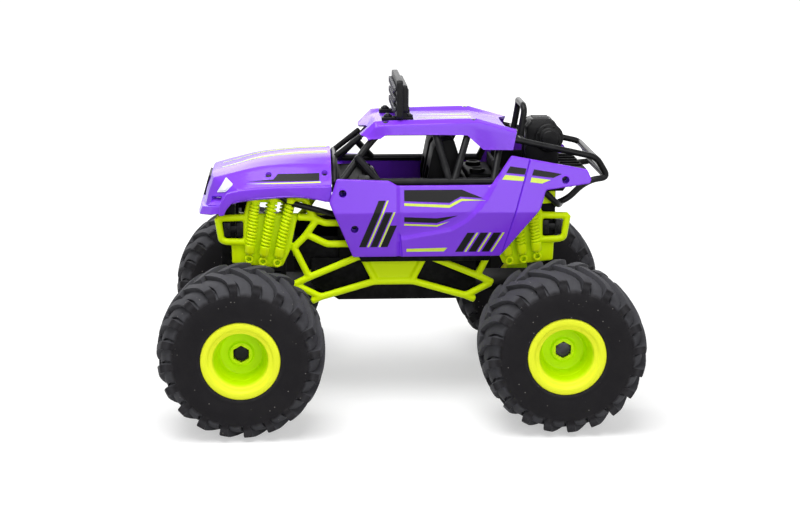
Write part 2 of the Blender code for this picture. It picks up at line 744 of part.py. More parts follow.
def chassis_tub():
    body = prism(tub_outline(0, 0), "Y", -CHASSIS_HALF, CHASSIS_HALF)
    inside = CHASSIS_HALF - TUB_WALL
    body = cut(body, prism(tub_outline(TUB_WALL, FLOOR_THICK), "Y", -inside, inside))
    front_deck = box((FRONT_X - 20 * MM, -DECK_HALF, FRONT_DECK_LOW),
                     (TUB_FRONT + 30 * MM, DECK_HALF, FRONT_DECK_LOW + DECK_THICK))
    rear_deck = box((TUB_REAR - 18 * MM, -DECK_HALF, REAR_DECK_LOW),
                    (REAR_X + 20 * MM, DECK_HALF, REAR_DECK_LOW + DECK_THICK))
    body = union(body, front_deck, rear_deck)
    body = union(body, bulkhead(FRONT_X - 17 * MM, FRONT_DECK_LOW + 1 * MM, FRONT_BULKHEAD_TOP))
    body = union(body, bulkhead(REAR_X - 8 * MM, REAR_DECK_LOW + 1 * MM, REAR_BULKHEAD_TOP))
    for x, y in STANDOFFS:
        body = union(body, rod((x, y, FLOOR_TOP - 1 * MM), (x, y, BOARD_LOW - FIT), 2.5 * MM, 8))
    below = TUB_FLOOR - 5 * MM
    above = FLOOR_TOP + 1 * MM
    bay = box((BAY_CENTRE_X - BAY_HALF_X, -BAY_HALF_Y, below), (BAY_CENTRE_X + BAY_HALF_X, BAY_HALF_Y, above))
    slot = box((SWITCH_X - SLOT_HALF, -SWITCH_HALF, below), (SWITCH_X + SLOT_HALF, SWITCH_HALF, above))
    deck_top = FRONT_DECK_LOW + DECK_THICK
    shaft = rod((FRONT_X, 0, 0), (FRONT_X, 0, deck_top + 1 * MM), SERVO_SHAFT_RADIUS + 2 * MM)
    piece("chassis_tub", cut(body, bay, slot, shaft), black())


def battery():
    gap = 1.4 * FIT
    low = (BAY_CENTRE_X - BAY_HALF_X + gap, gap - BAY_HALF_Y, TUB_FLOOR)
    high = (BAY_CENTRE_X + BAY_HALF_X - gap, BAY_HALF_Y - gap, TUB_FLOOR + DOOR_THICK)
    ribs = [box((x - 1 * MM, -12 * MM, TUB_FLOOR - 0.2 * MM), (x + 1 * MM, 12 * MM, TUB_FLOOR + 0.8 * MM))
            for x in (BAY_CENTRE_X + BAY_HALF_X - shift * MM for shift in (6, 10, 14))]
    door = cut(box(low, high), *ribs)
    piece("battery_door", door, black(), (low[0], 0, TUB_FLOOR))
    rest = TUB_FLOOR + DOOR_THICK + FIT + CELL_RADIUS
    pack = prism(stadium((-CELL_RADIUS, rest), (CELL_RADIUS, rest), CELL_RADIUS, 8), "X",
                 BAY_CENTRE_X - CELL_LENGTH / 2, BAY_CENTRE_X + CELL_LENGTH / 2)
    piece("battery_pack", pack, cell_wrap())


def control_board():
    body = box((BAY_CENTRE_X - BOARD_HALF_X, -BOARD_HALF_Y, BOARD_LOW),
               (BAY_CENTRE_X + BOARD_HALF_X, BOARD_HALF_Y, BOARD_LOW + BOARD_THICK))
    # Middle, length, width and height of each chip or connector
    tallest = TALLEST_CHIP / MM
    chips = ((-14, -12, 9, 9, 2.2), (8, -14, 6, 8, 4.5), (-6, 12, 12, 7, 5.0), (16, 14, 5, 7, tallest))
    for x, y, long, wide, tall in chips:
        centre = (BAY_CENTRE_X + x * MM, y * MM)
        half = (long * MM / 2, wide * MM / 2)
        top = BOARD_LOW + BOARD_THICK + tall * MM
        body = union(body, box((centre[0] - half[0], centre[1] - half[1], BOARD_LOW + 1 * MM),
                               (centre[0] + half[0], centre[1] + half[1], top)))
    piece("control_board", body, green_board())


def power_switch():
    side = SWITCH_HALF - FIT
    brim = 4 * MM
    nub = box((SWITCH_X - SWITCH_HALF, -side, TUB_FLOOR + FIT),
              (SWITCH_X + SWITCH_HALF, side, FLOOR_TOP + 1 * MM))
    flange = box((SWITCH_X - brim, -brim, FLOOR_TOP + FIT), (SWITCH_X + brim, brim, FLOOR_TOP + 2.5 * MM))
    piece("power_switch", union(nub, flange), black(), (SWITCH_X, 0, TUB_FLOOR))


# Side frames with their towers

def on_front(points):
    """Points given from the front axle, in millimetres."""
    return [(FRONT_X + u, v) for u, v in scaled(points)]


def on_rear(points):
    """Points given from the rear axle, in millimetres."""
    return [(REAR_X + u, v) for u, v in scaled(points)]


def on_middle(points):
    """Points given from the middle of the side frame, in millimetres."""
    return [(FRAME_MID_X + u, v) for u, v in scaled(points)]


def to_rear(points):
    """The same points on the rear half, where the tower stands a little ahead of the axle."""
    shift = REAR_TOWER_X + FRONT_X
    return [(shift - u, v) for u, v in points]


def frame_half():
    """Outer edge of the front half, from the top middle round the tower to the bottom middle."""
    top = TOWER_TOP / MM
    sill_corner = on_middle([(-24, 57), (-28, 62), (-28, 90.5)])
    tower_head = on_front([(57, 95), (51, top), (7, top), (2.5, top - 1), (-3, 94.2)])
    front_arm = on_front([(-22.2, 94), (-23, 92), (-19, 72), (-15, 69.2), (-9.3, 68.3)])
    tower_foot = on_front([(-8.5, 54.5), (28, 50.3), (32.5, 52.3), (37, 64.2), (49.4, 42.7)])
    hanger = on_front([(39, 38.3), (39, 33.5), (47, 32.5), (52.8, 21.5), (58.5, 20.2)])
    return sill_corner + tower_head + front_arm + tower_foot + hanger + on_middle([(-12.8, 35.4)])


def frame_windows():
    """The openings between the bars of the front half."""
    return (
        on_front([(-15.1, 89.2), (1.6, 88.3), (0.6, 76), (-14.5, 77)]),
        on_front([(5, 95.6), (11, 105.3), (48, 105.3), (51, 100), (47, 95.2)]),
        on_front([(6.5, 88.8), (38, 88.8), (32, 72), (5, 72)]),
        on_front([(44, 87.2), (57, 88), (39.5, 70.5)]),
        on_front([(63.3, 82.7), (68, 73)]) + on_middle([(-36, 74.4), (-40.5, 83.4)]),
        (on_front([(55.6, 47.5), (44.6, 65.2), (53.7, 73.2), (68, 65.7)])
         + on_middle([(-36, 65.5), (-33.5, 60.8)])),
        on_front([(67.3, 29.5), (49.4, 37)]) + on_middle([(-28.2, 55.3), (-18.3, 41.2)]),
    )


def tower_pocket():
    """The stretch of a front tower that is set back to make room for the dampers."""
    reach = SHOCK_RADIUS / MM
    front = SHOCK_LINES[0][0][0] - reach - 0.4
    rear = SHOCK_LINES[-1][0][0] + reach + 1.5
    foot = [(front, 48), (rear, 48), (rear + 2.5, 64)]
    head = [(44.5, 104), (44.5, 115), (-0.5, 115), (2, 92)]
    return on_front(foot + head)


def side_frames():
    half = frame_half()
    # The lower middle of the outline is shared, so the rear half runs back from bottom to top.
    outline = half + list(reversed(to_rear(half)))
    windows = [window for front in frame_windows() for window in (front, to_rear(front))]
    body = prism(outline, "Y", -FRAME_OUT, -FRAME_IN, windows)
    for pocket in (tower_pocket(), to_rear(tower_pocket())):
        body = cut(body, prism(pocket, "Y", -FRAME_OUT - 1 * MM, POCKET_DEPTH - FRAME_OUT))
    plate = on_middle([(-18, 55), (18, 55), (12.5, 41), (-12.5, 41)])
    body = cut(body, prism(plate, "Y", -FRAME_OUT - 1 * MM, 1.5 * MM - FRAME_OUT))
    both("side_frame", body, lime())


# Dampers

def coil_points(low, high, radius):
    """A helix along Z from one height to the other, with straight ends that run into the collars."""
    count = round(COIL_TURNS * COIL_POINTS)
    points = [(radius, 0, low - 2 * COIL_WIRE)]
    for i in range(count + 1):
        angle = 2 * math.pi * i / COIL_POINTS
        points.append((radius * math.cos(angle), radius * math.sin(angle), low + (high - low) * i / count))
    return points + [(*points[-1][:2], high + 2 * COIL_WIRE)]


def least_self_gap(points, wire):
    """The smallest clear space between turns of a coil, measured between its points."""
    gaps = [math.dist(a, b) for i, a in enumerate(points) for b in points[i + COIL_POINTS // 2 + 1:]]
    return min(gaps) - 2 * wire


def damper(length):
    """A moulded coil-over: eyelet, lower body, spring round a thin rod, top cap."""
    reach = SHOCK_RADIUS - COIL_WIRE
    coil_low = 0.27 * length
    coil_high = 0.88 * length
    collar_low = coil_low - COIL_WIRE
    collar_high = coil_high + COIL_WIRE
    rod_radius = 1.5 * MM
    profile = [(0, length), (2 * MM, length), (SHOCK_RADIUS, collar_high + 3 * MM),
               (SHOCK_RADIUS, collar_high), (rod_radius, collar_high), (rod_radius, collar_low),
               (SHOCK_RADIUS, collar_low), (SHOCK_RADIUS, 0.11 * length), (2 * MM, 0), (0, 0)]
    body = turned(profile, 6, Matrix.Rotation(math.radians(30), 4, "Z"), closed=False)
    eye = rod((0, -SHOCK_RADIUS, 0), (0, SHOCK_RADIUS - 1.5 * MM, 0), 3.1 * MM, 6)
    points = coil_points(coil_low, coil_high, reach)
    body = union(body, eye, tube(points, COIL_WIRE, 1))
    return body, least_self_gap(points, COIL_WIRE)


def shocks():
    """Three dampers on each tower, leaning in towards the middle of the truck."""
    gaps = []
    for number, (low, high) in enumerate(SHOCK_LINES, 1):
        low, high = on_front([low, high])
        for end, (foot, head) in (("front", (low, high)), ("rear", to_rear([low, high]))):
            lean = math.atan2(head[0] - foot[0], head[1] - foot[1])
            body, gap = damper(math.dist(foot, head))
            gaps.append(gap)
            place = Matrix.Translation((foot[0], -SHOCK_Y, foot[1])) @ Matrix.Rotation(lean, 4, "Y")
            body.data.transform(place @ Matrix.Diagonal((1, -1, 1, 1)))
            body.data.flip_normals()
            left = piece(f"{end}_left_shock_{number}", body, lime())
            mirrored(left, f"{end}_right_shock_{number}")
    print(f"spring coils: least gap between turns {min(gaps) * 1000:.2f} mm")


# Body shell

def rows_of(table):
    """Skin rows: each point is (x, y, z) in millimetres."""
    return [[Vector(point) * MM for point in row] for row in table]


HOOD_BOSS_Y = FRAME_IN + 2 * MM
HOOD_BOSS_X = FRONT_X + 22 * MM


def hood_rows():
    """The hood from the cab to the nose's lower lip: middle, crown, top edge, waist and lower edge."""
    rear = CAB_FRONT_X / MM
    nose = FRONT_X / MM
    low = PANEL_OUT / MM

    def across(x, middle, crown, edge, waist, foot):
        """A row straight across: two heights, the top edge, then the waist and foot drawn in by y."""
        sides = [(x, low - inwards, height) for inwards, height in (waist, foot)]
        return ((x, 0, middle), (x, 22, crown), (x, *edge), *sides)

    return rows_of((
        across(rear, 139, 137.5, (39, 132.5), (6, 119.6), (0.5, 106.4)),
        across(rear - 27, 138, 136.6, (39, 133), (5.5, 119), (0, 111)),
        across(nose + 15, 134.5, 133.5, (38.5, 131), (6, 117.8), (0, 109.7)),
        ((nose - 8, 0, 128.2), (nose - 8, 22, 127.6), (nose - 7, 38, 126.2),
         (nose + 2, low - 6, 116.6), (nose + 2, low - 0.5, 108)),
        ((nose - 24.5, 0, 124), (nose - 24.5, 22, 123.6), (nose - 22.5, 37, 122.2),
         (nose - 5, low - 6, 115.5), (nose - 6.5, low - 0.5, 106.3)),
        ((nose - 29, 0, 111), (nose - 29, 22, 111), (nose - 27, 37, 109.5),
         (nose - 18, low - 12.5, 104.5), (nose - 13, low - 2, 100)),
        ((nose - 34, 0, 95.5), (nose - 34, 22, 95.5), (nose - 32, 37, 95.5),
         (nose - 24, low - 11.5, 95.5), (nose - 15.5, low - 2, 95.5)),
    ))


def hood_shell():
    body = shell(hood_rows(), SKIN)
    for side in (-1, 1):
        foot = (HOOD_BOSS_X, side * HOOD_BOSS_Y, TOWER_TOP + FIT)
        body = union(body, rod(foot, (HOOD_BOSS_X, side * HOOD_BOSS_Y, 125.5 * MM), 3.2 * MM, 10))
    piece("hood_shell", body, purple())


def on_quad(corners, across, down):
    """A point inside a four-cornered face."""
    first, second, third, fourth = corners
    top = first.lerp(second, across)
    bottom = fourth.lerp(third, across)
    return top.lerp(bottom, down)


def lamps_and_grille():
    rows = hood_rows()
    corners = [rows[4][2], rows[4][3], rows[5][3], rows[5][2]]
    outward = (corners[1] - corners[0]).cross(corners[3] - corners[0]).normalized()
    if outward.y < 0:
        outward = -outward
    inset = [on_quad(corners, u, v) for u, v in ((0.42, 0.07), (0.92, 0.07), (0.78, 0.66), (0.3, 0.72))]
    back = [point + outward * 2 * FIT for point in inset]
    front = [point + outward * 2 * MM for point in inset]
    right = piece("right_headlight", loft([back, front]), clear_white())
    mirrored(right, "left_headlight")
    top = rows[4][0]
    low = rows[6][0]
    along = (low - top).normalized()
    face = Vector((along.z, 0, -along.x))
    if face.x > 0:
        face = -face
    turn = Matrix((
        (0, along.x, face.x, top.x),
        (1, 0, 0, 0),
        (0, along.z, face.z, top.z),
        (0, 0, 0, 1),
    ))
    outline = scaled([(-19, 5), (19, 5), (16, 26), (-16, 26)])
    slots = [scaled([(-14, v), (14, v), (14, v + 2.7), (-14, v + 2.7)]) for v in (8, 12.8, 17.6, 22.4)]
    grille = prism(outline, "Z", 3 * FIT, 2 * MM, slots)
    grille.data.transform(turn)
    tidied(grille.data)
    piece("front_grille", grille, black())


WELL_RADIUS = 3.1 * MM
WELL_WALL = 1.1 * MM
WELL_FLOOR = 1.5 * MM


def panel_outline():
    """Side panel in side view: raised front quarter, door, kicked-up rear quarter."""
    belt = BELT / MM
    sill = SILL / MM
    top = scaled([(-49.4, 124.7), (-7.8, 123), (-1, belt), (73.9, belt)])
    quarter = on_rear([(-37, 139.5), (-35, 142), (25.6, 131), (29, 123), (27.5, 120)])
    arch = on_rear([(-7.7, 115), (-10, 107), (-12.2, 100.5), (-43.6, sill)])
    front = scaled([(-36.8, sill), (-55.5, 106.3)])
    return top + quarter + arch + front


def panel_wells():
    """Each screw well's place in side view and the distance of its seat from the middle plane."""
    (cab, frame), (quarter,) = scaled([(-44.8, 113.5), (-35.4, 85)]), on_rear([(8, 123)])
    return ((cab, CHASSIS_HALF), (frame, FRAME_OUT), (quarter, REAR_DECK_HALF))


def panel_face(x, z):
    """How far the panel's outer face stands from the middle plane."""
    if z > WAIST:
        bulge = PANEL_BULGE * (1 - (z - WAIST) / (BELT - WAIST))
    else:
        bulge = PANEL_BULGE * (z - SILL) / (WAIST - SILL)
    raised = min(max(-x / STEP_RUN, 0), 1) * PANEL_STEP
    return PANEL_OUT + bulge + raised


def side_panels():
    """A folded skin with a waist crease and a step behind the front quarter, and three screw wells."""
    work = bmesh.new()
    work.faces.new([work.verts.new((x, 0, z)) for x, z in panel_outline()])
    folds = (((0, 0, WAIST), (0, 0, 1)), ((-STEP_RUN, 0, 0), (1, 0, 0)), ((0, 0, 0), (1, 0, 0)))
    for place, normal in folds:
        everything = work.verts[:] + work.edges[:] + work.faces[:]
        bmesh.ops.bisect_plane(work, geom=everything, plane_co=place, plane_no=normal)
    for point in work.verts:
        point.co.y = -panel_face(point.co.x, point.co.z)
    work.normal_update()
    if work.faces[:][0].normal.y > 0:
        bmesh.ops.reverse_faces(work, faces=work.faces)
    mesh = bpy.data.meshes.new("panel")
    work.to_mesh(mesh)
    work.free()
    item = loose(mesh)
    solid = item.modifiers.new("thickness", "SOLIDIFY")
    solid.thickness = SKIN
    solid.offset = -1
    body = baked(item)
    for (x, z), seat in panel_wells():
        outside = panel_face(x, z)
        cup = rod((x, -seat - FIT, z), (x, 0.6 * MM - outside, z), WELL_RADIUS + WELL_WALL, 10)
        hollow = rod((x, -seat - FIT - WELL_FLOOR, z), (x, -outside - 5 * MM, z), WELL_RADIUS, 10)
        body = cut(union(body, cup), hollow)
    both("side_panel", body, purple())
    top = (SILL - FIT) / MM
    rail = prism(scaled([(-30, 56.8), (73, 56.8), (75, top), (-32, top)]), "Y",
                 2 * MM - PANEL_OUT, -FRAME_OUT - FIT)
    both("rocker_rail", rail, black())


def roof_panel():
    """A roof with two raised side rails, a flat middle, a two-lobed front lip and drooping rear fins."""
    flat = ROOF_FLAT / MM
    end = ROOF_END_X / MM
    rail = CAGE_TOP_Y / MM
    body = shell(rows_of((
        ((-23, 0, 158.5), (-30, 23, 156), (-28.5, rail - 2, 157), (-25, rail + 3.8, 156),
         (-24, rail + 5.8, 153.2)),
        ((-17, 0, flat - 1), (-19, 24, flat - 1.5), (-19.5, rail + 0.3, 168.3), (-18, rail + 4.3, 163),
         (-13.8, rail + 6.1, 153.4)),
        ((-11, 0, flat), (-11, rail - 7.7, flat), (-11, rail + 0.3, 170), (-11, rail + 4.5, 165.5),
         (-9.5, rail + 6.3, 156.6)),
        ((30, 0, flat), (30, rail - 7.7, flat), (30, rail + 0.3, 170.3), (30, rail + 4.8, 166),
         (30, rail + 6.5, 156.6)),
        ((56, 0, flat), (56, rail - 7.7, flat), (56, rail + 0.3, 169.4), (56, rail + 4.8, 166),
         (56, rail + 6.5, 156)),
        ((66, 0, flat), (66, rail - 7.7, flat), (66, rail + 0.3, 168.2), (66, rail + 4.8, 165.5),
         (69, rail + 6.8, 144.3)),
        ((end, 0, 160.5), (end, rail - 10.2, 160.2), (end - 0.8, rail + 0.3, 159.6), (end - 1.2, rail + 4.8, 157),
         (93, rail + 7.1, 144)),
    )), SKIN)
    for x in (-9.5, 61.3):
        for side in (-1, 1):
            y = side * CAGE_TOP_Y
            body = union(body, rod((x * MM, y, ROOF_RAIL + TUBE + FIT), (x * MM, y, ROOF_FLAT), 2.4 * MM, 8))
    piece("roof_panel", body, purple())


# Cage, rack and fittings

def cages():
    """Left cage side: belt rail, windscreen pillar, roof rail and the struts between them."""
    low = -CAGE_Y / MM
    top = -CAGE_TOP_Y / MM
    belt = BELT_RAIL / MM
    roof = ROOF_RAIL / MM
    runs = (
        ((-47, low, belt), (78, low, belt)),
        ((-46, low, belt), (-24.5, top - 0.8, 146.5), (-14, top, roof), (80, top, roof), (91.5, top, 152.6)),
        ((30.4, top, roof), (40.7, low, belt)),
        ((57.5, top, roof), (44.3, low, belt)),
        ((-33, 0.4 * low + 0.6 * top - 4, 140.5), (-16, low, belt)),
        ((76, low, belt), (82, top - 1, 141), (84, top, roof)),
    )
    both("cage", bent_bars(runs, TUBE), black())


def bent_bars(runs, radius):
    """Bars through lists of points in millimetres, joined into one frame."""
    return union(*[tube([Vector(point) * MM for point in run], radius) for run in runs])


def cowl_frame():
    """The arch behind the hood, its two inner pillars and the stays that run forward under the hood."""
    x = CAB_FRONT_X / MM + 3
    foot = PANEL_OUT / MM - 10.3
    stay = CHASSIS_HALF / MM - 3.2
    half_arch = ((20, 135), (38, 130), (foot, 119.6))
    arch = [(x, -y, z) for y, z in reversed(half_arch)] + [(x, y, z) for y, z in half_arch]
    runs = [arch]
    for side in (-1, 1):
        runs.append([(x, side * 18, 134.5), (-29, side * 18, 151.5)])
        y = side * stay
        runs.append([(x, side * 40, 128), (x, y, 90), (-80, y, 97), (-100, y, 107)])
    piece("cowl_frame", bent_bars(runs, TUBE - 0.2 * MM), black())


def rear_rack():
    """The tube rack behind the roof, its roll hoop and the lower loop that returns to the chassis."""
    y = RACK_Y / MM
    inner = y - 2.5
    hoop = ROOF_END_X / MM + 4
    axle = REAR_X / MM
    seat = (REAR_X - 8 * MM + BULKHEAD_THICK + FIT) / MM + 0.8
    half_hoop = ((hoop + 3, 16, 176.5), (hoop + 3.5, 20, 172), (hoop, 20, 150.6))
    runs = [
        ((hoop, -y, 150.6), (hoop, y, 150.6)),
        ((axle + 36.4, -y, 137.3), (axle + 36.4, y, 137.3)),
        ((axle + 46.9, -inner, 120.3), (axle + 46.9, inner, 120.3)),
        [(x, -side, z) for x, side, z in reversed(half_hoop)] + list(half_hoop),
    ]
    for side in (-1, 1):
        bar = [(hoop - 6.2, y, 151.9), (axle + 36.4, y, 137.3), (axle + 46.9, inner, 120.3)]
        loop = [(axle + 33.4, y, 118.8), (axle + 20.5, y, 113.6), (axle + 14, y, 104), (seat, y, 101)]
        runs.append([(x, side * out, z) for x, out, z in bar + loop])
    piece("rear_rack", bent_bars(runs, TUBE), black())


COCKPIT_LOW = TUB_TOP + FIT
COCKPIT_FLOOR = COCKPIT_LOW + 2.5 * MM


def cockpit_tub():
    """The cabin moulding: floor, low side walls, high front quarter with the dashboard, and rear wall."""
    low = COCKPIT_LOW / MM
    floor = COCKPIT_FLOOR / MM
    front_half = [(-6, 88), (-19, 118), (-47, 118), (-47, low)]
    rear_half = [(84, low), (84, 118), (77, 118), (70, 88)]
    inside = scaled([(-44.8, floor), (81.5, floor), (81.5, 140), (-44.8, 140)])
    body = prism(scaled(front_half + rear_half), "Y", -CHASSIS_HALF, CHASSIS_HALF)
    body = cut(body, prism(inside, "Y", 2 * MM - CHASSIS_HALF, CHASSIS_HALF - 2 * MM))
    dash = scaled([(-46, 96), (-30, 99), (-25, 104), (-26, 113), (-32, 117.5), (-46, 117.5)])
    body = union(body, prism(dash, "Y", 1 * MM - CHASSIS_HALF, CHASSIS_HALF - 1 * MM))
    head = CAGE_TOP_Y + 8 * MM
    body = union(body, box((81.5 * MM, -head, 116 * MM), (84 * MM, head, 128 * MM)))
    piece("cockpit_tub", body, black())


def seats():
    """High-backed bucket seats."""
    floor = COCKPIT_FLOOR / MM + 0.3
    back = [(44, floor), (50, 92), (49.5, 140), (46, 151), (42, 152.5), (34, 150.5), (29, 144)]
    front = [(24, 118), (24, 92), (18, 86), (0, 85), (-2, 80), (6, floor)]
    outer = CHASSIS_HALF - 7.7 * MM
    inner = 7 * MM
    bolster = 5 * MM
    body = prism(scaled(back + front), "Y", -outer, -inner)
    hollow = scaled([(28, 126), (26, 96), (20, 90), (-6, 89), (-6, 100), (20, 130)])
    body = cut(body, prism(hollow, "Y", bolster - outer, -inner - bolster))
    both("seat", body, black())


def steering_wheel():
    """A rim, a hub bar and a column that runs down to the dashboard."""
    ring = turned(circle((13.5 * MM, 0), 1.7 * MM, 5), 14)
    bar = box((-13 * MM, -2 * MM, -1 * MM), (13 * MM, 2 * MM, 1 * MM))
    column = rod((0, 0, -11.5 * MM), (0, 0, 0.5 * MM), 2.2 * MM, 8)
    body = union(ring, bar, column)
    tilt = Matrix.Rotation(math.radians(62), 4, "Y")
    body.data.transform(Matrix.Translation((-14 * MM, -22 * MM, 114.5 * MM)) @ tilt)
    piece("steering_wheel", body, black())


DECK_LOW = REAR_BULKHEAD_TOP + FIT
DECK_TOP = DECK_LOW + 3 * MM
ENGINE_X = REAR_X - 4 * MM


def rear_deck():
    """The engine tray: a channel whose side walls take the rear screws of the side panels."""
    half = REAR_DECK_HALF
    wall = half - 2.6 * MM
    top = DECK_LOW + 16 * MM
    outline = [(-half, DECK_LOW), (half, DECK_LOW), (half, top), (wall, top),
               (wall, DECK_TOP), (-wall, DECK_TOP), (-wall, top), (-half, top)]
    body = prism(outline, "X", REAR_X - 39 * MM, REAR_X + 15 * MM)
    piece("rear_deck", body, black())


def engine_block():
    """A dummy engine: ribbed block, cross drum with end caps, intake on top."""
    half = 13 * MM
    body = box((ENGINE_X - half, -16 * MM, DECK_TOP + FIT), (ENGINE_X + half, 16 * MM, 142 * MM))
    drum = (ENGINE_X + 0.5 * MM, 147 * MM)
    body = union(body, prism(circle(drum, 11 * MM, 16), "Y", -19 * MM, 19 * MM))
    body = union(body, prism(circle(drum, 6.8 * MM, 12), "Y", -22 * MM, 22 * MM))
    intake = box((ENGINE_X - 9 * MM, -9 * MM, 150 * MM), (ENGINE_X + 5 * MM, 9 * MM, 161.5 * MM))
    body = union(body, intake)
    for end in (-1, 1):
        face = ENGINE_X + end * half
        for y in (-6 * MM, 6 * MM):
            slot = box((face - 1.5 * MM, y - 1 * MM, 121 * MM), (face + 1.5 * MM, y + 1 * MM, 138 * MM))
            body = cut(body, slot)
    piece("engine_block", body, black())


def light_bar():
    """The roof lamp: finned housing on two feet, with a flat lens in front."""
    foot = ROOF_FLAT / MM + FIT / MM
    outline = [(-4, 177.5), (-6, 180), (-6, 196.5), (-4.5, 199.5), (1.5, 199.5), (3, 197)]
    for fin in (192, 186):
        outline += [(3, fin + 2), (5.5, fin + 1), (5.5, fin - 1), (3, fin - 2)]
    outline += [(3, 180), (0, 177.5)]
    body = prism(scaled(outline), "Y", -BAR_HALF, BAR_HALF)
    bracket = [(-10, foot), (12, foot), (12, foot + 2.5), (4, foot + 3)]
    bracket += [(2, 180), (-3, 180), (-4, foot + 3), (-10, foot + 2.5)]
    for side in (-1, 1):
        inner, outer = sorted((side * 19 * MM, side * 27 * MM))
        body = union(body, prism(scaled(bracket), "Y", inner, outer))
    piece("light_bar_housing", body, black())
    lens = scaled([(-6.3, 181), (-6.3, 196), (-8, 195), (-8, 182)])
    piece("light_bar_lens", prism(lens, "Y", 2 * MM - BAR_HALF, BAR_HALF - 2 * MM), clear_white())


def main():
    clear_scene()
    for name in (PARTS, "workshop"):
        bpy.context.scene.collection.children.link(bpy.data.collections.new(name))
    chassis_tub()
    battery()
    control_board()
    power_switch()
    front_axle_beam()
    knuckles()
    tie_rod()
    servo_horn()
    steering_servo()
    gear_train()
    rear_axle_shaft()
    rear_gearbox()
    drive_motor()
    wheels()
    side_frames()
    shocks()
    hood_shell()
    lamps_and_grille()
    side_panels()
    roof_panel()
    cages()
    cowl_frame()
    rear_rack()
    cockpit_tub()
    seats()
    steering_wheel()
    rear_deck()
    engine_block()
    light_bar()


main()
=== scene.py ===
"""Looks of a toy monster truck: its shapes, finishes and stage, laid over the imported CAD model."""

import json
import math

import bmesh
import bpy
import numpy as np
from bpy.props import FloatProperty, FloatVectorProperty, IntProperty, PointerProperty
from mathutils import Matrix, Vector
from mathutils.bvhtree import BVHTree
from mathutils.geometry import delaunay_2d_cdt


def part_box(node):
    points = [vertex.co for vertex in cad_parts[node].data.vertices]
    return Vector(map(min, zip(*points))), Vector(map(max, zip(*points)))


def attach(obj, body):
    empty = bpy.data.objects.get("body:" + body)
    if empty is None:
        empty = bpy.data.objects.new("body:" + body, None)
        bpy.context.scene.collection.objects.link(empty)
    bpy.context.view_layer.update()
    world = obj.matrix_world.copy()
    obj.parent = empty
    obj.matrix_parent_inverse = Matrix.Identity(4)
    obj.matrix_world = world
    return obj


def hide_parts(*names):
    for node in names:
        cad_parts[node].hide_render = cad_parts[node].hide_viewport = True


bl_info = {
    "name": "Toy Monster Truck",
    "version": (1, 0, 0),
    "blender": (4, 5, 0),
    "location": "View3D > Sidebar > Truck",
    "description": "Builds the visible pieces of a toy monster truck on its CAD frame",
    "category": "Object",
}

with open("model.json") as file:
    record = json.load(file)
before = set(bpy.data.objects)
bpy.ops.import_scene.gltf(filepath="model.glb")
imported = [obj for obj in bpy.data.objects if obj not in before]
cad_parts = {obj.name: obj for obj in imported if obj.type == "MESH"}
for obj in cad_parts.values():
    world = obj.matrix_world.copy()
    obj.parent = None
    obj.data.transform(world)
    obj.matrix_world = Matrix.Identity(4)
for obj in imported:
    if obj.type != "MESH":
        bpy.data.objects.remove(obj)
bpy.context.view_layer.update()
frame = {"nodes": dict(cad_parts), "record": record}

MM = 0.001
JOINTS = {joint["name"]: joint for joint in frame["record"]["behaviour"]["joints"]}
AXLE_Z = JOINTS["rear_axle_spin"]["pos_m"][2]
FRONT_X = JOINTS["front_left_spin"]["pos_m"][0]
REAR_X = JOINTS["rear_axle_spin"]["pos_m"][0]
WHEEL_Y = JOINTS["front_right_spin"]["pos_m"][1]
TYRE_RADIUS = (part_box("rear_left_tyre")[1][2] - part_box("rear_left_tyre")[0][2]) / 2
SIDES = (("left", -1), ("right", 1))
ENDS = (("front", FRONT_X), ("rear", REAR_X))
ACROSS = Matrix.Diagonal((1, -1, 1, 1))
Z_TO_LEFT = Matrix.Rotation(math.radians(90), 4, "X")
Z_TO_RIGHT = Matrix.Rotation(math.radians(-90), 4, "X")
UP = (0, 0, 1)
WHITE = (1, 1, 1, 1)
# Thickness of the purple shells in millimetres.
SHELL_THICK = 2.2
BODY_OF = {name: body for body, names in frame["record"]["behaviour"]["bodies"].items() for name in names}


# Settings that a user would change

def colour_setting(name, description, default):
    """A colour as it is written in a paint list, in sRGB from 0 to 1."""
    return FloatVectorProperty(name=name, description=description, default=default, subtype="COLOR_GAMMA",
                               size=3, min=0, max=1)


def length_setting(name, description, default):
    """A length in metres that Blender shows in the scene's unit."""
    return FloatProperty(name=name, description=description, default=default, min=0, subtype="DISTANCE",
                         unit="LENGTH", precision=5)


class TruckColours(bpy.types.PropertyGroup):
    """Colours of the moulded plastics, the rubber and the stickers, with Dish, Tread and Shade as painted
    shade and light
    """

    shell: colour_setting("Shell", "Purple plastic of hood, sides and roof", (0.485, 0.215, 0.885))
    frame: colour_setting("Frame", "Lime plastic of side frames and dampers", (0.87, 0.98, 0.0))
    wheel: colour_setting("Wheel", "Bright lime plastic of the wheels", (0.95, 0.985, 0.20))
    # Painted shade: the wheels' lime made darker and greener for the shade and bounced light deep in the
    # dish.
    dish: colour_setting("Dish", "Lime plastic deep inside the wheels", (0.80, 0.95, 0.0))
    trim: colour_setting("Trim", "Black plastic of cage, rack and lamp", (0.08, 0.08, 0.085))
    # Painted shade: the same black plastic as the trim, darker for the parts that sit deep in shade.
    shade: colour_setting("Shade", "Black plastic of chassis, cab and rails", (0.035, 0.035, 0.038))
    # Painted light: the treads are paler than the sidewalls to stand for the light that falls on them from
    # above. The dust is only the specks and thin film of the Dust effect.
    tread: colour_setting("Tread", "Rubber of the treads, paler with dust", (0.275, 0.275, 0.29))
    rubber: colour_setting("Rubber", "Tyre rubber", (0.115, 0.11, 0.12))
    sticker: colour_setting("Sticker", "Lime of the sticker lines", (0.80, 0.88, 0.25))
    ink: colour_setting("Ink", "Black of the sticker fields", (0.045, 0.043, 0.05))
    webbing: colour_setting("Webbing", "Moulded seat belts", (0.30, 0.30, 0.32))


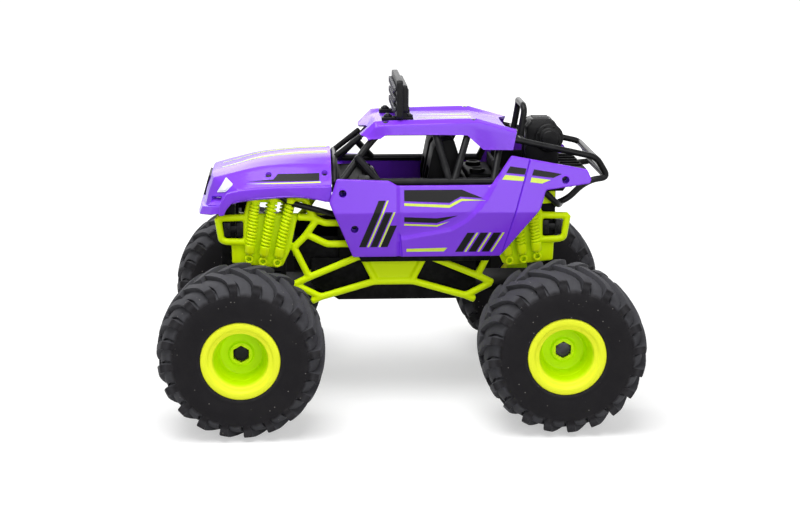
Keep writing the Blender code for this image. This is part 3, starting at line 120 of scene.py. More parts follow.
class TruckSizes(bpy.types.PropertyGroup):
    """Sizes and counts of the details that CAD leaves to the looks"""

    lugs: IntProperty(name="Tread bars", description="Tread bars in each row of a tyre", default=20, min=8)
    lug_width: length_setting("Tread bar width", "Width of a tread bar", 6.9 * MM)
    coil_turns: FloatProperty(name="Coil turns", description="Turns of a damper's spring", default=12, min=3)
    coil_wire: length_setting("Coil wire", "Radius of the spring's wire", 1.15 * MM)
    screw_radius: length_setting("Screw head", "Radius of the body screws' heads", 2.2 * MM)
    sticker_rise: length_setting("Sticker rise", "How far a sticker stands off its panel", 0.12 * MM)
    led_columns: IntProperty(name="Lamp columns", description="Columns of the roof lamp", default=11, min=1)
    led_rows: IntProperty(name="Lamp rows", description="Rows of the roof lamp", default=3, min=1)


class TruckStage(bpy.types.PropertyGroup):
    """Camera and lights of the stage"""

    focal: FloatProperty(name="Focal length", description="Camera lens in millimetres", default=73.86,
                         subtype="DISTANCE_CAMERA")
    key: FloatProperty(name="Key light", description="Power of the large lamp above", default=21,
                       subtype="POWER")
    fill: FloatProperty(name="Fill light", description="Power of the lamp beside the camera", default=6,
                        subtype="POWER")
    back: FloatProperty(name="Back light", description="Power of the wide lamp behind the truck", default=9,
                        subtype="POWER")
    sky: FloatProperty(name="Sky", description="Strength of the even light all round", default=0.32, min=0)


def colours():
    return bpy.context.scene.truck_colours


def sizes():
    return bpy.context.scene.truck_sizes


# Mesh tools

def at(x, y, z):
    """A point in millimetres, with its height counted from the axle line."""
    return Vector((x * MM, y * MM, z * MM + AXLE_Z))


def scaled(points):
    """Pairs in millimetres, with the second counted up from the axle line."""
    return [(u * MM, v * MM + AXLE_Z) for u, v in points]


def tidied(work, gap=1e-6):
    """Joins touching points and turns the faces outwards."""
    bmesh.ops.remove_doubles(work, verts=work.verts, dist=gap)
    bmesh.ops.recalc_face_normals(work, faces=work.faces)
    if work.calc_volume(signed=True) < 0:
        bmesh.ops.reverse_faces(work, faces=work.faces)
    return work


def mesh_of(work, name="shape"):
    """The mesh of an edit, which is used up."""
    mesh = bpy.data.meshes.new(name)
    work.to_mesh(mesh)
    work.free()
    return mesh


def worked(mesh):
    """A mesh opened for editing."""
    work = bmesh.new()
    work.from_mesh(mesh)
    return work


def evaluated(item):
    """The plain mesh that an object's modifiers or curve make. The object is used up."""
    bpy.context.view_layer.update()
    graph = bpy.context.evaluated_depsgraph_get()
    mesh = bpy.data.meshes.new_from_object(item.evaluated_get(graph))
    mesh.transform(item.matrix_world)
    bpy.data.objects.remove(item)
    return mesh


def loose(data):
    """A nameless object for a shape that is still being worked on."""
    item = bpy.data.objects.new("blank", data)
    bpy.context.scene.collection.objects.link(item)
    return item


def joined(*meshes):
    """Several meshes as one."""
    work = bmesh.new()
    for mesh in meshes:
        work.from_mesh(mesh)
    return mesh_of(work)


def moved(mesh, matrix):
    """A copy of a mesh in another place, its faces still outwards."""
    made = mesh.copy()
    made.transform(matrix)
    if matrix.determinant() < 0:
        made.flip_normals()
    return made


def to_side(mesh, sign):
    """A left piece as it is for the left, or mirrored for the right."""
    return moved(mesh, ACROSS if sign > 0 else Matrix.Identity(4))


def on_both_sides(mesh):
    """A mesh together with its mirror image across the middle plane."""
    return joined(mesh, moved(mesh, ACROSS))


def turned(profile, steps):
    """A closed profile of (radius, height) turned round Z. A radius may be a function of the angle."""
    work = bmesh.new()
    rings = []
    for i in range(steps):
        angle = 2 * math.pi * i / steps
        ring = []
        for radius, height in profile:
            reach = radius(angle) if callable(radius) else radius
            ring.append(work.verts.new((reach * math.cos(angle), reach * math.sin(angle), height)))
        rings.append(ring)
    count = len(profile)
    pairs = [(i, (i + 1) % count) for i in range(count)]
    pairs = [(i, j) for i, j in pairs if profile[i][0] or profile[j][0]]
    for ring, following in zip(rings, rings[1:] + rings[:1]):
        for i, j in pairs:
            work.faces.new((ring[i], following[i], following[j], ring[j]))
    return mesh_of(tidied(work))


def lathed(profile, steps):
    """A closed profile in millimetres, turned round Z."""
    return turned([(radius * MM, height * MM) for radius, height in profile], steps)


def drill(radius, low, high):
    """A plain bore along Z in millimetres, to be cut out of a shell."""
    return lathed(((0, low), (radius, low), (radius, high), (0, high)), 24)


def lofted(sections):
    """A skin through loops of equally many points, closed by its first and last loop."""
    work = bmesh.new()
    rings = [[work.verts.new(point) for point in section] for section in sections]
    count = len(rings[0])
    for ring, following in zip(rings, rings[1:]):
        for i in range(count):
            j = (i + 1) % count
            work.faces.new((ring[i], ring[j], following[j], following[i]))
    work.faces.new(rings[0])
    work.faces.new(rings[-1])
    return mesh_of(tidied(work))


def corner_curve(before, corner, after, reach, limit, steps):
    """Points of a curve round a corner, which takes up to a limit of the sides beside it."""
    least = min(reach, limit * (corner - before).length, limit * (after - corner).length)
    start = corner + (before - corner).normalized() * least
    end = corner + (after - corner).normalized() * least
    shares = [i / steps for i in range(steps + 1)]
    return [start.lerp(corner, share).lerp(corner.lerp(end, share), share) for share in shares]


def rounded_path(points, bend):
    """A path whose corners are replaced by curves that start the given distance away."""
    path = [points[0]]
    for before, corner, after in zip(points, points[1:], points[2:]):
        path += corner_curve(before, corner, after, bend, 0.45, 5)
    return path + [points[-1]]


def bar(points, radius, bend, sides=14):
    """A round bar bent through points, with softened ends."""
    path = rounded_path([Vector(point) for point in points], bend)
    tangents = []
    for i, point in enumerate(path):
        ahead = path[min(i + 1, len(path) - 1)]
        behind = path[max(i - 1, 0)]
        tangents.append((ahead - behind).normalized())
    side = tangents[0].orthogonal().normalized()
    sections = []
    for i, (point, tangent) in enumerate(zip(path, tangents)):
        side = (side - tangent * side.dot(tangent)).normalized()
        other = tangent.cross(side)
        rings = [(0, 1)]
        if i == 0:
            rings = [(-0.3, 0.6), (0, 1)]
        elif i == len(path) - 1:
            rings = [(0, 1), (0.3, 0.6)]
        for shift, share in rings:
            centre = point + tangent * shift * radius
            turns = [2 * math.pi * k / sides for k in range(sides)]
            sections.append([centre + (side * math.cos(a) + other * math.sin(a)) * radius * share
                             for a in turns])
    return lofted(sections)


def bars(runs, radius, bend=6):
    """Bars through lists of points in millimetres, as one mesh."""
    return joined(*[bar([at(*point) for point in run], radius * MM, bend * MM) for run in runs])


# How a flat outline is stood up to be extruded along each axis.
UPRIGHT = {
    "X": Matrix(((0, 0, 1, 0), (1, 0, 0, 0), (0, 1, 0, 0), (0, 0, 0, 1))),
    "Y": Matrix(((1, 0, 0, 0), (0, 0, 1, 0), (0, 1, 0, 0), (0, 0, 0, 1))),
    "Z": Matrix.Identity(4),
}


def plate(outline, axis, low, high, rounding=0.0, holes=(), steps=2):
    """A flat outline with holes, extruded along an axis, with its edges rounded.

    The outline is (y, z) along X, (x, z) along Y and (x, y) along Z."""
    curve = bpy.data.curves.new("outline", "CURVE")
    curve.dimensions = "2D"
    curve.fill_mode = "BOTH"
    curve.extrude = (high - low) / 2 - rounding
    curve.bevel_depth = rounding
    curve.bevel_resolution = steps
    curve.offset = -rounding
    for loop in (outline, *holes):
        spline = curve.splines.new("POLY")
        spline.points.add(len(loop) - 1)
        for point, (u, v) in zip(spline.points, loop):
            point.co = (u, v, 0, 1)
        spline.use_cyclic_u = True
    item = loose(curve)
    item.matrix_world = UPRIGHT[axis] @ Matrix.Translation((0, 0, (low + high) / 2))
    return mesh_of(tidied(worked(evaluated(item)), 1e-5))


def slab(outline, axis, low, high, rounding=0.0, holes=(), steps=2):
    """A plate in millimetres across X or Y, its outline's heights counted from the axle line."""
    return plate(scaled(outline), axis, low * MM, high * MM, rounding * MM, [scaled(hole) for hole in holes],
                 steps)


def leaf(outline, low, high, rounding, holes=()):
    """A plate in millimetres that lies flat, its outline seen from above."""
    loops = [[(u * MM, v * MM) for u, v in loop] for loop in (outline, *holes)]
    return plate(loops[0], "Z", low * MM, high * MM, rounding * MM, loops[1:])


def block(low, high, rounding):
    """A box in millimetres between two corners, with rounded edges."""
    work = bmesh.new()
    bmesh.ops.create_cube(work, size=1)
    low, high = at(*low), at(*high)
    size = Matrix.Diagonal((*(high - low), 1))
    bmesh.ops.transform(work, matrix=Matrix.Translation((low + high) / 2) @ size, verts=work.verts)
    softened(work, rounding)
    return mesh_of(tidied(work))


def softened(work, width, segments=2, angle=25):
    """Rounds the edges that are sharper than the angle, over a width in millimetres."""
    least = math.radians(angle)
    edges = [edge for edge in work.edges if edge.is_manifold and edge.calc_face_angle() > least]
    bmesh.ops.bevel(work, geom=edges, offset=width * MM, offset_type="OFFSET", segments=segments, profile=0.5,
                    affect="EDGES", clamp_overlap=True)


def cad_copy(name, width, segments=2):
    """A CAD node's shape with its flat faces made whole and its edges rounded."""
    work = worked(frame["nodes"][name].data)
    bmesh.ops.remove_doubles(work, verts=work.verts, dist=1e-6)
    bmesh.ops.dissolve_limit(work, angle_limit=math.radians(0.5), verts=work.verts, edges=work.edges)
    softened(work, width, segments)
    return mesh_of(work)


def melted(mesh, voxel, passes):
    """A moulded version of a shape: one skin, with soft edges and filled corners."""
    item = loose(mesh)
    remesh = item.modifiers.new("skin", "REMESH")
    remesh.mode = "VOXEL"
    remesh.voxel_size = voxel
    smooth = item.modifiers.new("soften", "SMOOTH")
    smooth.factor = 0.5
    smooth.iterations = passes
    return evaluated(item)


def thickened(mesh):
    """A shell's skin given its thickness on the inside."""
    item = loose(mesh)
    solid = item.modifiers.new("thickness", "SOLIDIFY")
    solid.thickness = SHELL_THICK * MM
    solid.offset = -1
    solid.use_even_offset = True
    return mesh_of(tidied(worked(evaluated(item))))


def cut(mesh, *tools):
    """A mesh with other shapes taken out of it. The shapes stand clear of each other."""
    item = loose(mesh)
    spare = loose(joined(*tools))
    modifier = item.modifiers.new("cut", "BOOLEAN")
    modifier.operation = "DIFFERENCE"
    modifier.solver = "EXACT"
    modifier.use_self = True
    modifier.object = spare
    made = evaluated(item)
    bpy.data.objects.remove(spare)
    return made


def spread(points, steps, sharp=()):
    """More points along a row of points: smooth curves, with corners only at the sharp ones."""
    points = [np.asarray(point, float) for point in points]
    last = len(points) - 1
    made = []
    for i in range(last):
        start, end = points[i], points[i + 1]
        leaving = end - start if i == 0 or i in sharp else (end - points[i - 1]) / 2
        arriving = end - start if i + 1 == last or i + 1 in sharp else (points[i + 2] - start) / 2
        for k in range(steps):
            t = k / steps
            made.append((2 * t**3 - 3 * t**2 + 1) * start + (t**3 - 2 * t**2 + t) * leaving
                        + (3 * t**2 - 2 * t**3) * end + (t**3 - t**2) * arriving)
    return made + [points[last]]


def skin_of(rows, along=6, across=5, sharp_rows=(), sharp_columns=(), fading=None):
    """A smooth grid through rows of points from the middle plane outwards, mirrored to both sides.

    fading names sharp rows that are only sharp up to a column."""
    width = len(rows[0])
    full = [[(x, -y, z) for x, y, z in reversed(row[1:])] + list(row) for row in rows]
    middle = width - 1
    corners = {middle + column for column in sharp_columns} | {middle - column for column in sharp_columns}
    fine = [spread(row, across, corners) for row in full]
    columns = []
    for i, column in enumerate(zip(*fine)):
        reach = abs(i / across - middle)
        faded = [row for row, last in (fading or {}).items() if reach > last]
        columns.append(spread(column, along, [row for row in sharp_rows if row not in faded]))
    return [list(row) for row in zip(*columns)]


def grid_mesh(grid):
    """A skin over rows of points, with its faces upwards, still open for editing."""
    work = bmesh.new()
    points = [[work.verts.new(point) for point in row] for row in grid]
    for row, following in zip(points, points[1:]):
        for i in range(len(row) - 1):
            work.faces.new((row[i], row[i + 1], following[i + 1], following[i]))
    work.normal_update()
    if sum(face.normal.z * face.calc_area() for face in work.faces) < 0:
        bmesh.ops.reverse_faces(work, faces=work.faces)
    return work


def node(tree, kind, inputs=(), **settings):
    """A node with its settings, and its inputs given as values or as sockets to link."""
    made = tree.nodes.new(kind)
    for name, value in settings.items():
        setattr(made, name, value)
    for socket, value in dict(inputs).items():
        if isinstance(value, bpy.types.NodeSocket):
            tree.links.new(value, made.inputs[socket])
        else:
            made.inputs[socket].default_value = value
    return made


def modified(item, tree, values):
    """The plain mesh that a node tree makes of an object. The inputs are set by their identifiers."""
    modifier = item.modifiers.new(tree.name, "NODES")
    modifier.node_group = tree
    identifiers = {socket.name: socket.identifier for socket in tree.interface.items_tree
                   if socket.in_out == "INPUT"}
    for name, value in values.items():
        modifier[identifiers[name]] = value
    item.update_tag()
    return evaluated(item)


def geometry_tree(name, inputs):
    """An empty geometry tree with named inputs: (tree, input node, output node)."""
    tree = bpy.data.node_groups.new(name, "GeometryNodeTree")
    tree.interface.new_socket("Geometry", in_out="INPUT", socket_type="NodeSocketGeometry")
    for title, kind in inputs:
        tree.interface.new_socket(title, in_out="INPUT", socket_type=kind)
    tree.interface.new_socket("Geometry", in_out="OUTPUT", socket_type="NodeSocketGeometry")
    return tree, tree.nodes.new("NodeGroupInput"), tree.nodes.new("NodeGroupOutput")


def ended(tree, geometry, material, result):
    """Closes a geometry tree: real instances, then the material."""
    real = node(tree, "GeometryNodeRealizeInstances", {0: geometry}).outputs[0]
    coated = node(tree, "GeometryNodeSetMaterial", {"Geometry": real, "Material": material}).outputs[0]
    tree.links.new(coated, result.inputs[0])


def eased(outline, radius):
    """An outline with its corners rounded off."""
    points = [Vector(point) for point in outline]
    made = []
    for before, corner, after in zip(points[-1:] + points[:-1], points, points[1:] + points[:1]):
        made += [tuple(point) for point in corner_curve(before, corner, after, radius, 0.4, 4)]
    return made


def slanted(u, v, width, height, lean):
    """A bar that leans, as an outline."""
    return ((u, v), (u + width, v), (u + width + lean, v + height), (u + lean, v + height))


def ring_of(centre, radius, count=20):
    """Points on a circle."""
    return [(centre[0] + radius * math.cos(2 * math.pi * i / count),
             centre[1] + radius * math.sin(2 * math.pi * i / count)) for i in range(count)]


def inside(points, outline):
    """Which of the points lie inside an outline."""
    u, v = np.asarray(points, float).T
    made = np.zeros(len(u), bool)
    for (u1, v1), (u2, v2) in zip(outline, outline[1:] + outline[:1]):
        if v1 != v2:
            made ^= ((v1 > v) != (v2 > v)) & (u < (u2 - u1) * (v - v1) / (v2 - v1) + u1)
    return made


def edge_distance(points, outline, closed=True):
    """How far each point is from a line through the outline's corners."""
    points = np.asarray(points, float)
    corners = np.asarray(outline, float)
    starts, ends = corners, np.roll(corners, -1, axis=0)
    if not closed:
        starts, ends = corners[:-1], corners[1:]
    least = np.full(len(points), np.inf)
    for start, end in zip(starts, ends):
        along = end - start
        share = np.clip((points - start) @ along / max(along @ along, 1e-9), 0, 1)
        least = np.minimum(least, np.linalg.norm(points - start - share[:, None] * along, axis=1))
    return least


def divided(outline, spacing):
    """An outline with more points along its sides."""
    made = []
    for start, end in zip(outline, outline[1:] + outline[:1]):
        start, end = Vector(start), Vector(end)
        count = max(1, round((end - start).length / spacing))
        made += [tuple(start.lerp(end, i / count)) for i in range(count)]
    return made


def beside(line, shift, spacing):
    """Points along a line through corners, shifted to one side of it."""
    made = []
    for start, end in zip(line, line[1:]):
        start, end = Vector(start), Vector(end)
        along = (end - start).normalized()
        out = Vector((-along.y, along.x)) * shift
        count = max(1, round((end - start).length / spacing))
        made += [tuple(start.lerp(end, i / count) + out) for i in range(count + 1)]
    return made


def sheet(outline, place, thickness, spacing=1.2, holes=(), edge=0.0, folds=()):
    """A closed sheet over an outline in millimetres, its outer edge rounded.

    place(u, v, depth) gives the point at a depth under the outer face. The mesh follows the folds, which are
    (line, shifts)."""
    outline = list(outline)
    loops = [divided(list(loop), spacing) for loop in (outline, *holes)]
    points = [point for loop in loops for point in loop]
    links = []
    for loop in loops:
        first = len(links)
        links += [(first + i, first + (i + 1) % len(loop)) for i in range(len(loop))]
    low, high = np.min(outline, axis=0), np.max(outline, axis=0)
    rows = np.arange(low[1], high[1], spacing * 0.87)
    inner = [(u + (i % 2) * spacing / 2, v) for i, v in enumerate(rows)
             for u in np.arange(low[0], high[0], spacing)]
    if edge:
        for depth in (0.15, 0.5, 1.0):
            inner += inset(loops[0], depth * edge)
    inner = np.asarray(inner)
    for line, shifts in folds:
        reach = max(abs(shift) for shift in shifts) + 0.5 * spacing
        inner = inner[edge_distance(inner, line, False) > reach]
        traced = [point for shift in shifts for point in beside(line, shift, 0.8 * spacing)]
        inner = np.concatenate((inner, traced))
    distance = np.min([edge_distance(inner, loop) for loop in loops], axis=0)
    keep = inside(inner, outline) & (distance > (0.12 if edge else 0.45) * spacing)
    for hole in holes:
        keep &= ~inside(inner, list(hole))
    points += [tuple(point) for point in inner[keep]]
    found, _, faces = delaunay_2d_cdt([Vector(point) for point in points], links, [], 1, 1e-5)[:3]
    flat = np.asarray([tuple(point) for point in found])
    centres = np.asarray([flat[list(face)].mean(axis=0) for face in faces])
    wanted = inside(centres, loops[0])
    for hole in loops[1:]:
        wanted &= ~inside(centres, hole)
    depth = np.zeros(len(flat))
    if edge:
        near = np.clip(1 - edge_distance(flat, loops[0]) / edge, 0, 1)
        depth = edge * (1 - np.sqrt(1 - near ** 2))
    work = bmesh.new()
    front = [work.verts.new(place(u, v, d)) for (u, v), d in zip(flat, depth)]
    back = [work.verts.new(place(u, v, thickness)) for u, v in flat]
    rim = set()
    for face, wanted_face in zip(faces, wanted):
        if wanted_face:
            work.faces.new([front[i] for i in face])
            work.faces.new([back[i] for i in reversed(face)])
            for i, j in zip(face, list(face[1:]) + [face[0]]):
                rim ^= {(min(i, j), max(i, j))}
    for i, j in rim:
        work.faces.new((front[i], front[j], back[j], back[i]))
    for point in [point for point in work.verts if not point.link_faces]:
        work.verts.remove(point)
    return mesh_of(tidied(work, 1e-7))


def inset(loop, depth):
    """Points a little inside a loop, one for each of its points."""
    corners = np.asarray(loop, float)
    along = np.roll(corners, -1, axis=0) - np.roll(corners, 1, axis=0)
    along /= np.maximum(np.linalg.norm(along, axis=1), 1e-9)[:, None]
    u, v = corners.T
    area = np.sum(u * np.roll(v, -1) - v * np.roll(u, -1))
    inwards = np.stack((-along[:, 1], along[:, 0]), axis=1) * (1 if area > 0 else -1)
    return [tuple(point) for point in corners + inwards * depth]


def laid_on(mesh, axis, sign=1, rise=None):
    """A place function for stickers: it follows a mesh, seen along an axis from its outer side.

    rise is how far the sticker stands off the mesh, in millimetres."""
    tree = BVHTree.FromBMesh(worked(mesh))
    rise = rise or sizes().sticker_rise / MM

    def place(u, v, depth):
        """The sticker's point at (u, v) in that view, at a depth under its outer face."""
        if axis == "Z":
            start, way = Vector((u * MM, v * MM, 1)), Vector((0, 0, -1))
        else:
            start, way = at(u, 0, v) + Vector((0, sign, 0)), Vector((0, -sign, 0))
        spot, normal, _, _ = tree.ray_cast(start, way)
        if spot is None:
            raise RuntimeError(f"a sticker reaches past its panel at {u:.1f}, {v:.1f}")
        return spot + normal * (rise - depth) * MM
    return place


def stickers(outlines, place):
    """Thin closed sheets laid on a panel."""
    thickness = sizes().sticker_rise / MM - 0.02
    return joined(*[sheet(outline, place, thickness, 1.5) for outline in outlines])


def both_halves(outlines):
    """Outlines seen from above, and their mirror images across the middle plane."""
    return outlines + [tuple((u, -v) for u, v in outline) for outline in outlines]


def copies_tree():
    """Copies of a shape on an object's points, each turned to face along its point's own direction."""
    tree, given, result = geometry_tree("copies on points", (
        ("Shape", "NodeSocketObject"), ("Material", "NodeSocketMaterial")))
    shape = node(tree, "GeometryNodeObjectInfo", {"Object": given.outputs["Shape"], "As Instance": True})
    facing = node(tree, "GeometryNodeInputNamedAttribute", {"Name": "facing"}, data_type="FLOAT_VECTOR")
    turn = node(tree, "FunctionNodeAlignRotationToVector", {"Vector": facing.outputs["Attribute"]}, axis="Z")
    made = node(tree, "GeometryNodeInstanceOnPoints", {
        "Points": given.outputs[0], "Instance": shape.outputs["Geometry"], "Rotation": turn.outputs[0]})
    ended(tree, made.outputs[0], given.outputs["Material"], result)
    return tree


def copies(mesh, places, coat):
    """Copies of a mesh at (point, direction) pairs, as one mesh. Its Z axis follows the direction."""
    tree = bpy.data.node_groups.get("copies on points") or copies_tree()
    spots = bpy.data.meshes.new("spots")
    spots.from_pydata([place for place, _ in places], [], [])
    facing = spots.attributes.new("facing", "FLOAT_VECTOR", "POINT")
    facing.data.foreach_set("vector", [value for _, way in places for value in way])
    shape = loose(mesh)
    made = modified(loose(spots), tree, {"Shape": shape, "Material": material_of(coat)})
    bpy.data.objects.remove(shape)
    return made


def sideways(distances):
    """Places for copies of a shape, moved sideways by distances in millimetres."""
    return [((0, y * MM, 0), UP) for y in distances]


def mark_rubbed_edges(mesh):
    """Stores how strongly each point stands out, for the wear on edges."""
    count = len(mesh.vertices)
    places = np.empty(count * 3)
    mesh.vertices.foreach_get("co", places)
    places = places.reshape(-1, 3)
    normals = np.empty(count * 3)
    mesh.vertex_normals.foreach_get("vector", normals)
    normals = normals.reshape(-1, 3)
    ends = np.empty(len(mesh.edges) * 2, int)
    mesh.edges.foreach_get("vertices", ends)
    first, second = ends.reshape(-1, 2).T
    reach = places[second] - places[first]
    length = np.maximum(np.linalg.norm(reach, axis=1), 1e-6)
    bend = np.einsum("ij,ij->i", normals[second] - normals[first], reach) / length
    total = np.zeros(count)
    share = np.zeros(count)
    for end in (first, second):
        np.add.at(total, end, bend)
        np.add.at(share, end, 1)
    rub = np.clip(total / np.maximum(share, 1) * 1.6, 0, 1)
    attribute = mesh.attributes.new("rub", "FLOAT", "POINT")
    attribute.data.foreach_set("value", rub.astype(np.float32))


def show(name, mesh, coat, stands_for=None, angle=32):
    """Makes a mesh a piece of the truck, on the body and in the place of the CAD node it stands for.

    coat names a finish, and the edges sharper than the angle stay sharp in the shading."""
    mesh.name = name
    mesh.materials.clear()
    mesh.materials.append(material_of(coat))
    mark_rubbed_edges(mesh)
    mesh.shade_smooth()
    mesh.set_sharp_from_angle(angle=math.radians(angle))
    item = bpy.data.objects.new(name, mesh)
    bpy.context.scene.collection.objects.link(item)
    if stands_for:
        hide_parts(stands_for)
    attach(item, BODY_OF.get(stands_for, "chassis"))


# Finishes

def shader_group(name, inputs, outputs):
    """An empty shader group: (tree, its input node, its output node)."""
    tree = bpy.data.node_groups.new(name, "ShaderNodeTree")
    for title, kind, default in inputs:
        socket = tree.interface.new_socket(title, in_out="INPUT", socket_type=kind)
        if default is not None:
            socket.default_value = default
    for title, kind in outputs:
        tree.interface.new_socket(title, in_out="OUTPUT", socket_type=kind)
    return tree, tree.nodes.new("NodeGroupInput"), tree.nodes.new("NodeGroupOutput")


VECTOR = ("Vector", "NodeSocketVector", None)


def noise(tree, vector, scale, detail, roughness):
    """Cloudy noise from 0 to 1."""
    return node(tree, "ShaderNodeTexNoise", {"Vector": vector, "Scale": scale, "Detail": detail,
                                             "Roughness": roughness}).outputs["Fac"]


def stepped(tree, value, low, high, top=1.0):
    """A value stretched so that low becomes nothing and high becomes the top value."""
    return node(tree, "ShaderNodeMapRange", {"Value": value, "From Min": low, "From Max": high,
                                             "To Max": top}).outputs["Result"]


def maths(tree, operation, *values, **settings):
    """The output of a Math node for values or sockets."""
    return node(tree, "ShaderNodeMath", dict(enumerate(values)), operation=operation, **settings).outputs[0]


def times(tree, first, second):
    """One value times another."""
    return maths(tree, "MULTIPLY", first, second)


def plus(tree, first, second):
    """Two values added, and kept between 0 and 1."""
    return maths(tree, "ADD", first, second, use_clamp=True)


def moulding_group():
    """Fine grain that a spark-eroded mould leaves, and slow waves of shrinkage under it."""
    tree, given, result = shader_group(
        "Moulding", (VECTOR, ("Grain", "NodeSocketFloat", 1500.0), ("Waves", "NodeSocketFloat", 60.0)),
        (("Height", "NodeSocketFloat"), ("Speckle", "NodeSocketFloat")))
    fine = noise(tree, given.outputs["Vector"], given.outputs["Grain"], 2, 0.6)
    slow = noise(tree, given.outputs["Vector"], given.outputs["Waves"], 1, 0.5)
    height = maths(tree, "ADD", fine, times(tree, slow, 0.6))
    tree.links.new(height, result.inputs["Height"])
    tree.links.new(stepped(tree, fine, 0.35, 0.7), result.inputs["Speckle"])
    return tree


def wear_group():
    """Where edges are rubbed and faces carry faint handling marks."""
    tree, given, result = shader_group(
        "Wear", (VECTOR, ("Edges", "NodeSocketFloat", 0.5), ("Marks", "NodeSocketFloat", 0.3)),
        (("Rubbed", "NodeSocketFloat"), ("Scuffed", "NodeSocketFloat")))
    vector = given.outputs["Vector"]
    rub = node(tree, "ShaderNodeAttribute", attribute_name="rub").outputs["Fac"]
    patchy = stepped(tree, noise(tree, vector, 130, 4, 0.65), 0.42, 0.66)
    edges = times(tree, times(tree, stepped(tree, rub, 0.12, 0.7), patchy), given.outputs["Edges"])
    long_way = node(tree, "ShaderNodeMapping", {"Vector": vector, "Scale": (0.25, 1.0, 1.6)}).outputs[0]
    streaks = stepped(tree, noise(tree, long_way, 420, 3, 0.7), 0.6, 0.78)
    fields = stepped(tree, noise(tree, vector, 38, 2, 0.5), 0.45, 0.7)
    marks = times(tree, times(tree, streaks, fields), given.outputs["Marks"])
    tree.links.new(edges, result.inputs["Rubbed"])
    tree.links.new(marks, result.inputs["Scuffed"])
    return tree


def dust_group():
    """Pale specks and a thin film, as a toy collects on a studio table."""
    tree, given, result = shader_group(
        "Dust", (VECTOR, ("Specks", "NodeSocketFloat", 0.4), ("Film", "NodeSocketFloat", 0.1)),
        (("Mask", "NodeSocketFloat"),))
    vector = given.outputs["Vector"]
    cells = node(tree, "ShaderNodeTexVoronoi", {"Vector": vector, "Scale": 260.0, "Randomness": 1.0})
    rare = stepped(tree, noise(tree, vector, 75, 1, 0.5), 0.56, 0.62)
    specks = times(tree, stepped(tree, cells.outputs["Distance"], 0.16, 0.08), rare)
    film = stepped(tree, noise(tree, vector, 55, 5, 0.65), 0.4, 0.75)
    mask = plus(tree, times(tree, specks, given.outputs["Specks"]), times(tree, film, given.outputs["Film"]))
    tree.links.new(mask, result.inputs["Mask"])
    return tree


def drift_group():
    """A colour that varies slightly over the piece."""
    tree, given, result = shader_group(
        "Colour Drift", (VECTOR, ("Colour", "NodeSocketColor", None), ("Amount", "NodeSocketFloat", 0.1)),
        (("Colour", "NodeSocketColor"),))
    slow = noise(tree, given.outputs["Vector"], 24, 2, 0.5)
    shift = maths(tree, "SUBTRACT", slow, 0.5)
    lift = maths(tree, "ADD", times(tree, shift, given.outputs["Amount"]), 1.0)
    made = node(tree, "ShaderNodeHueSaturation", {"Value": lift, "Color": given.outputs["Colour"]})
    tree.links.new(made.outputs["Color"], result.inputs["Colour"])
    return tree


GROUPS = {"Moulding": moulding_group, "Wear": wear_group, "Dust": dust_group, "Colour Drift": drift_group}


def effect(tree, name, inputs):
    """The outputs of a shared effect with its own values."""
    if name not in bpy.data.node_groups:
        GROUPS[name]()
    return node(tree, "ShaderNodeGroup", inputs, node_tree=bpy.data.node_groups[name]).outputs


def linear(colour):
    """A colour written in sRGB, as the shader takes it."""
    return (*[c / 12.92 if c < 0.04045 else ((c + 0.055) / 1.055) ** 2.4 for c in colour], 1.0)


def mixed(tree, mask, first, second):
    """Two colours mixed by a mask. A mix node has its colours at inputs 6 and 7 and at output 2."""
    return node(tree, "ShaderNodeMix", {"Factor": mask, 6: first, 7: second}, data_type="RGBA").outputs[2]


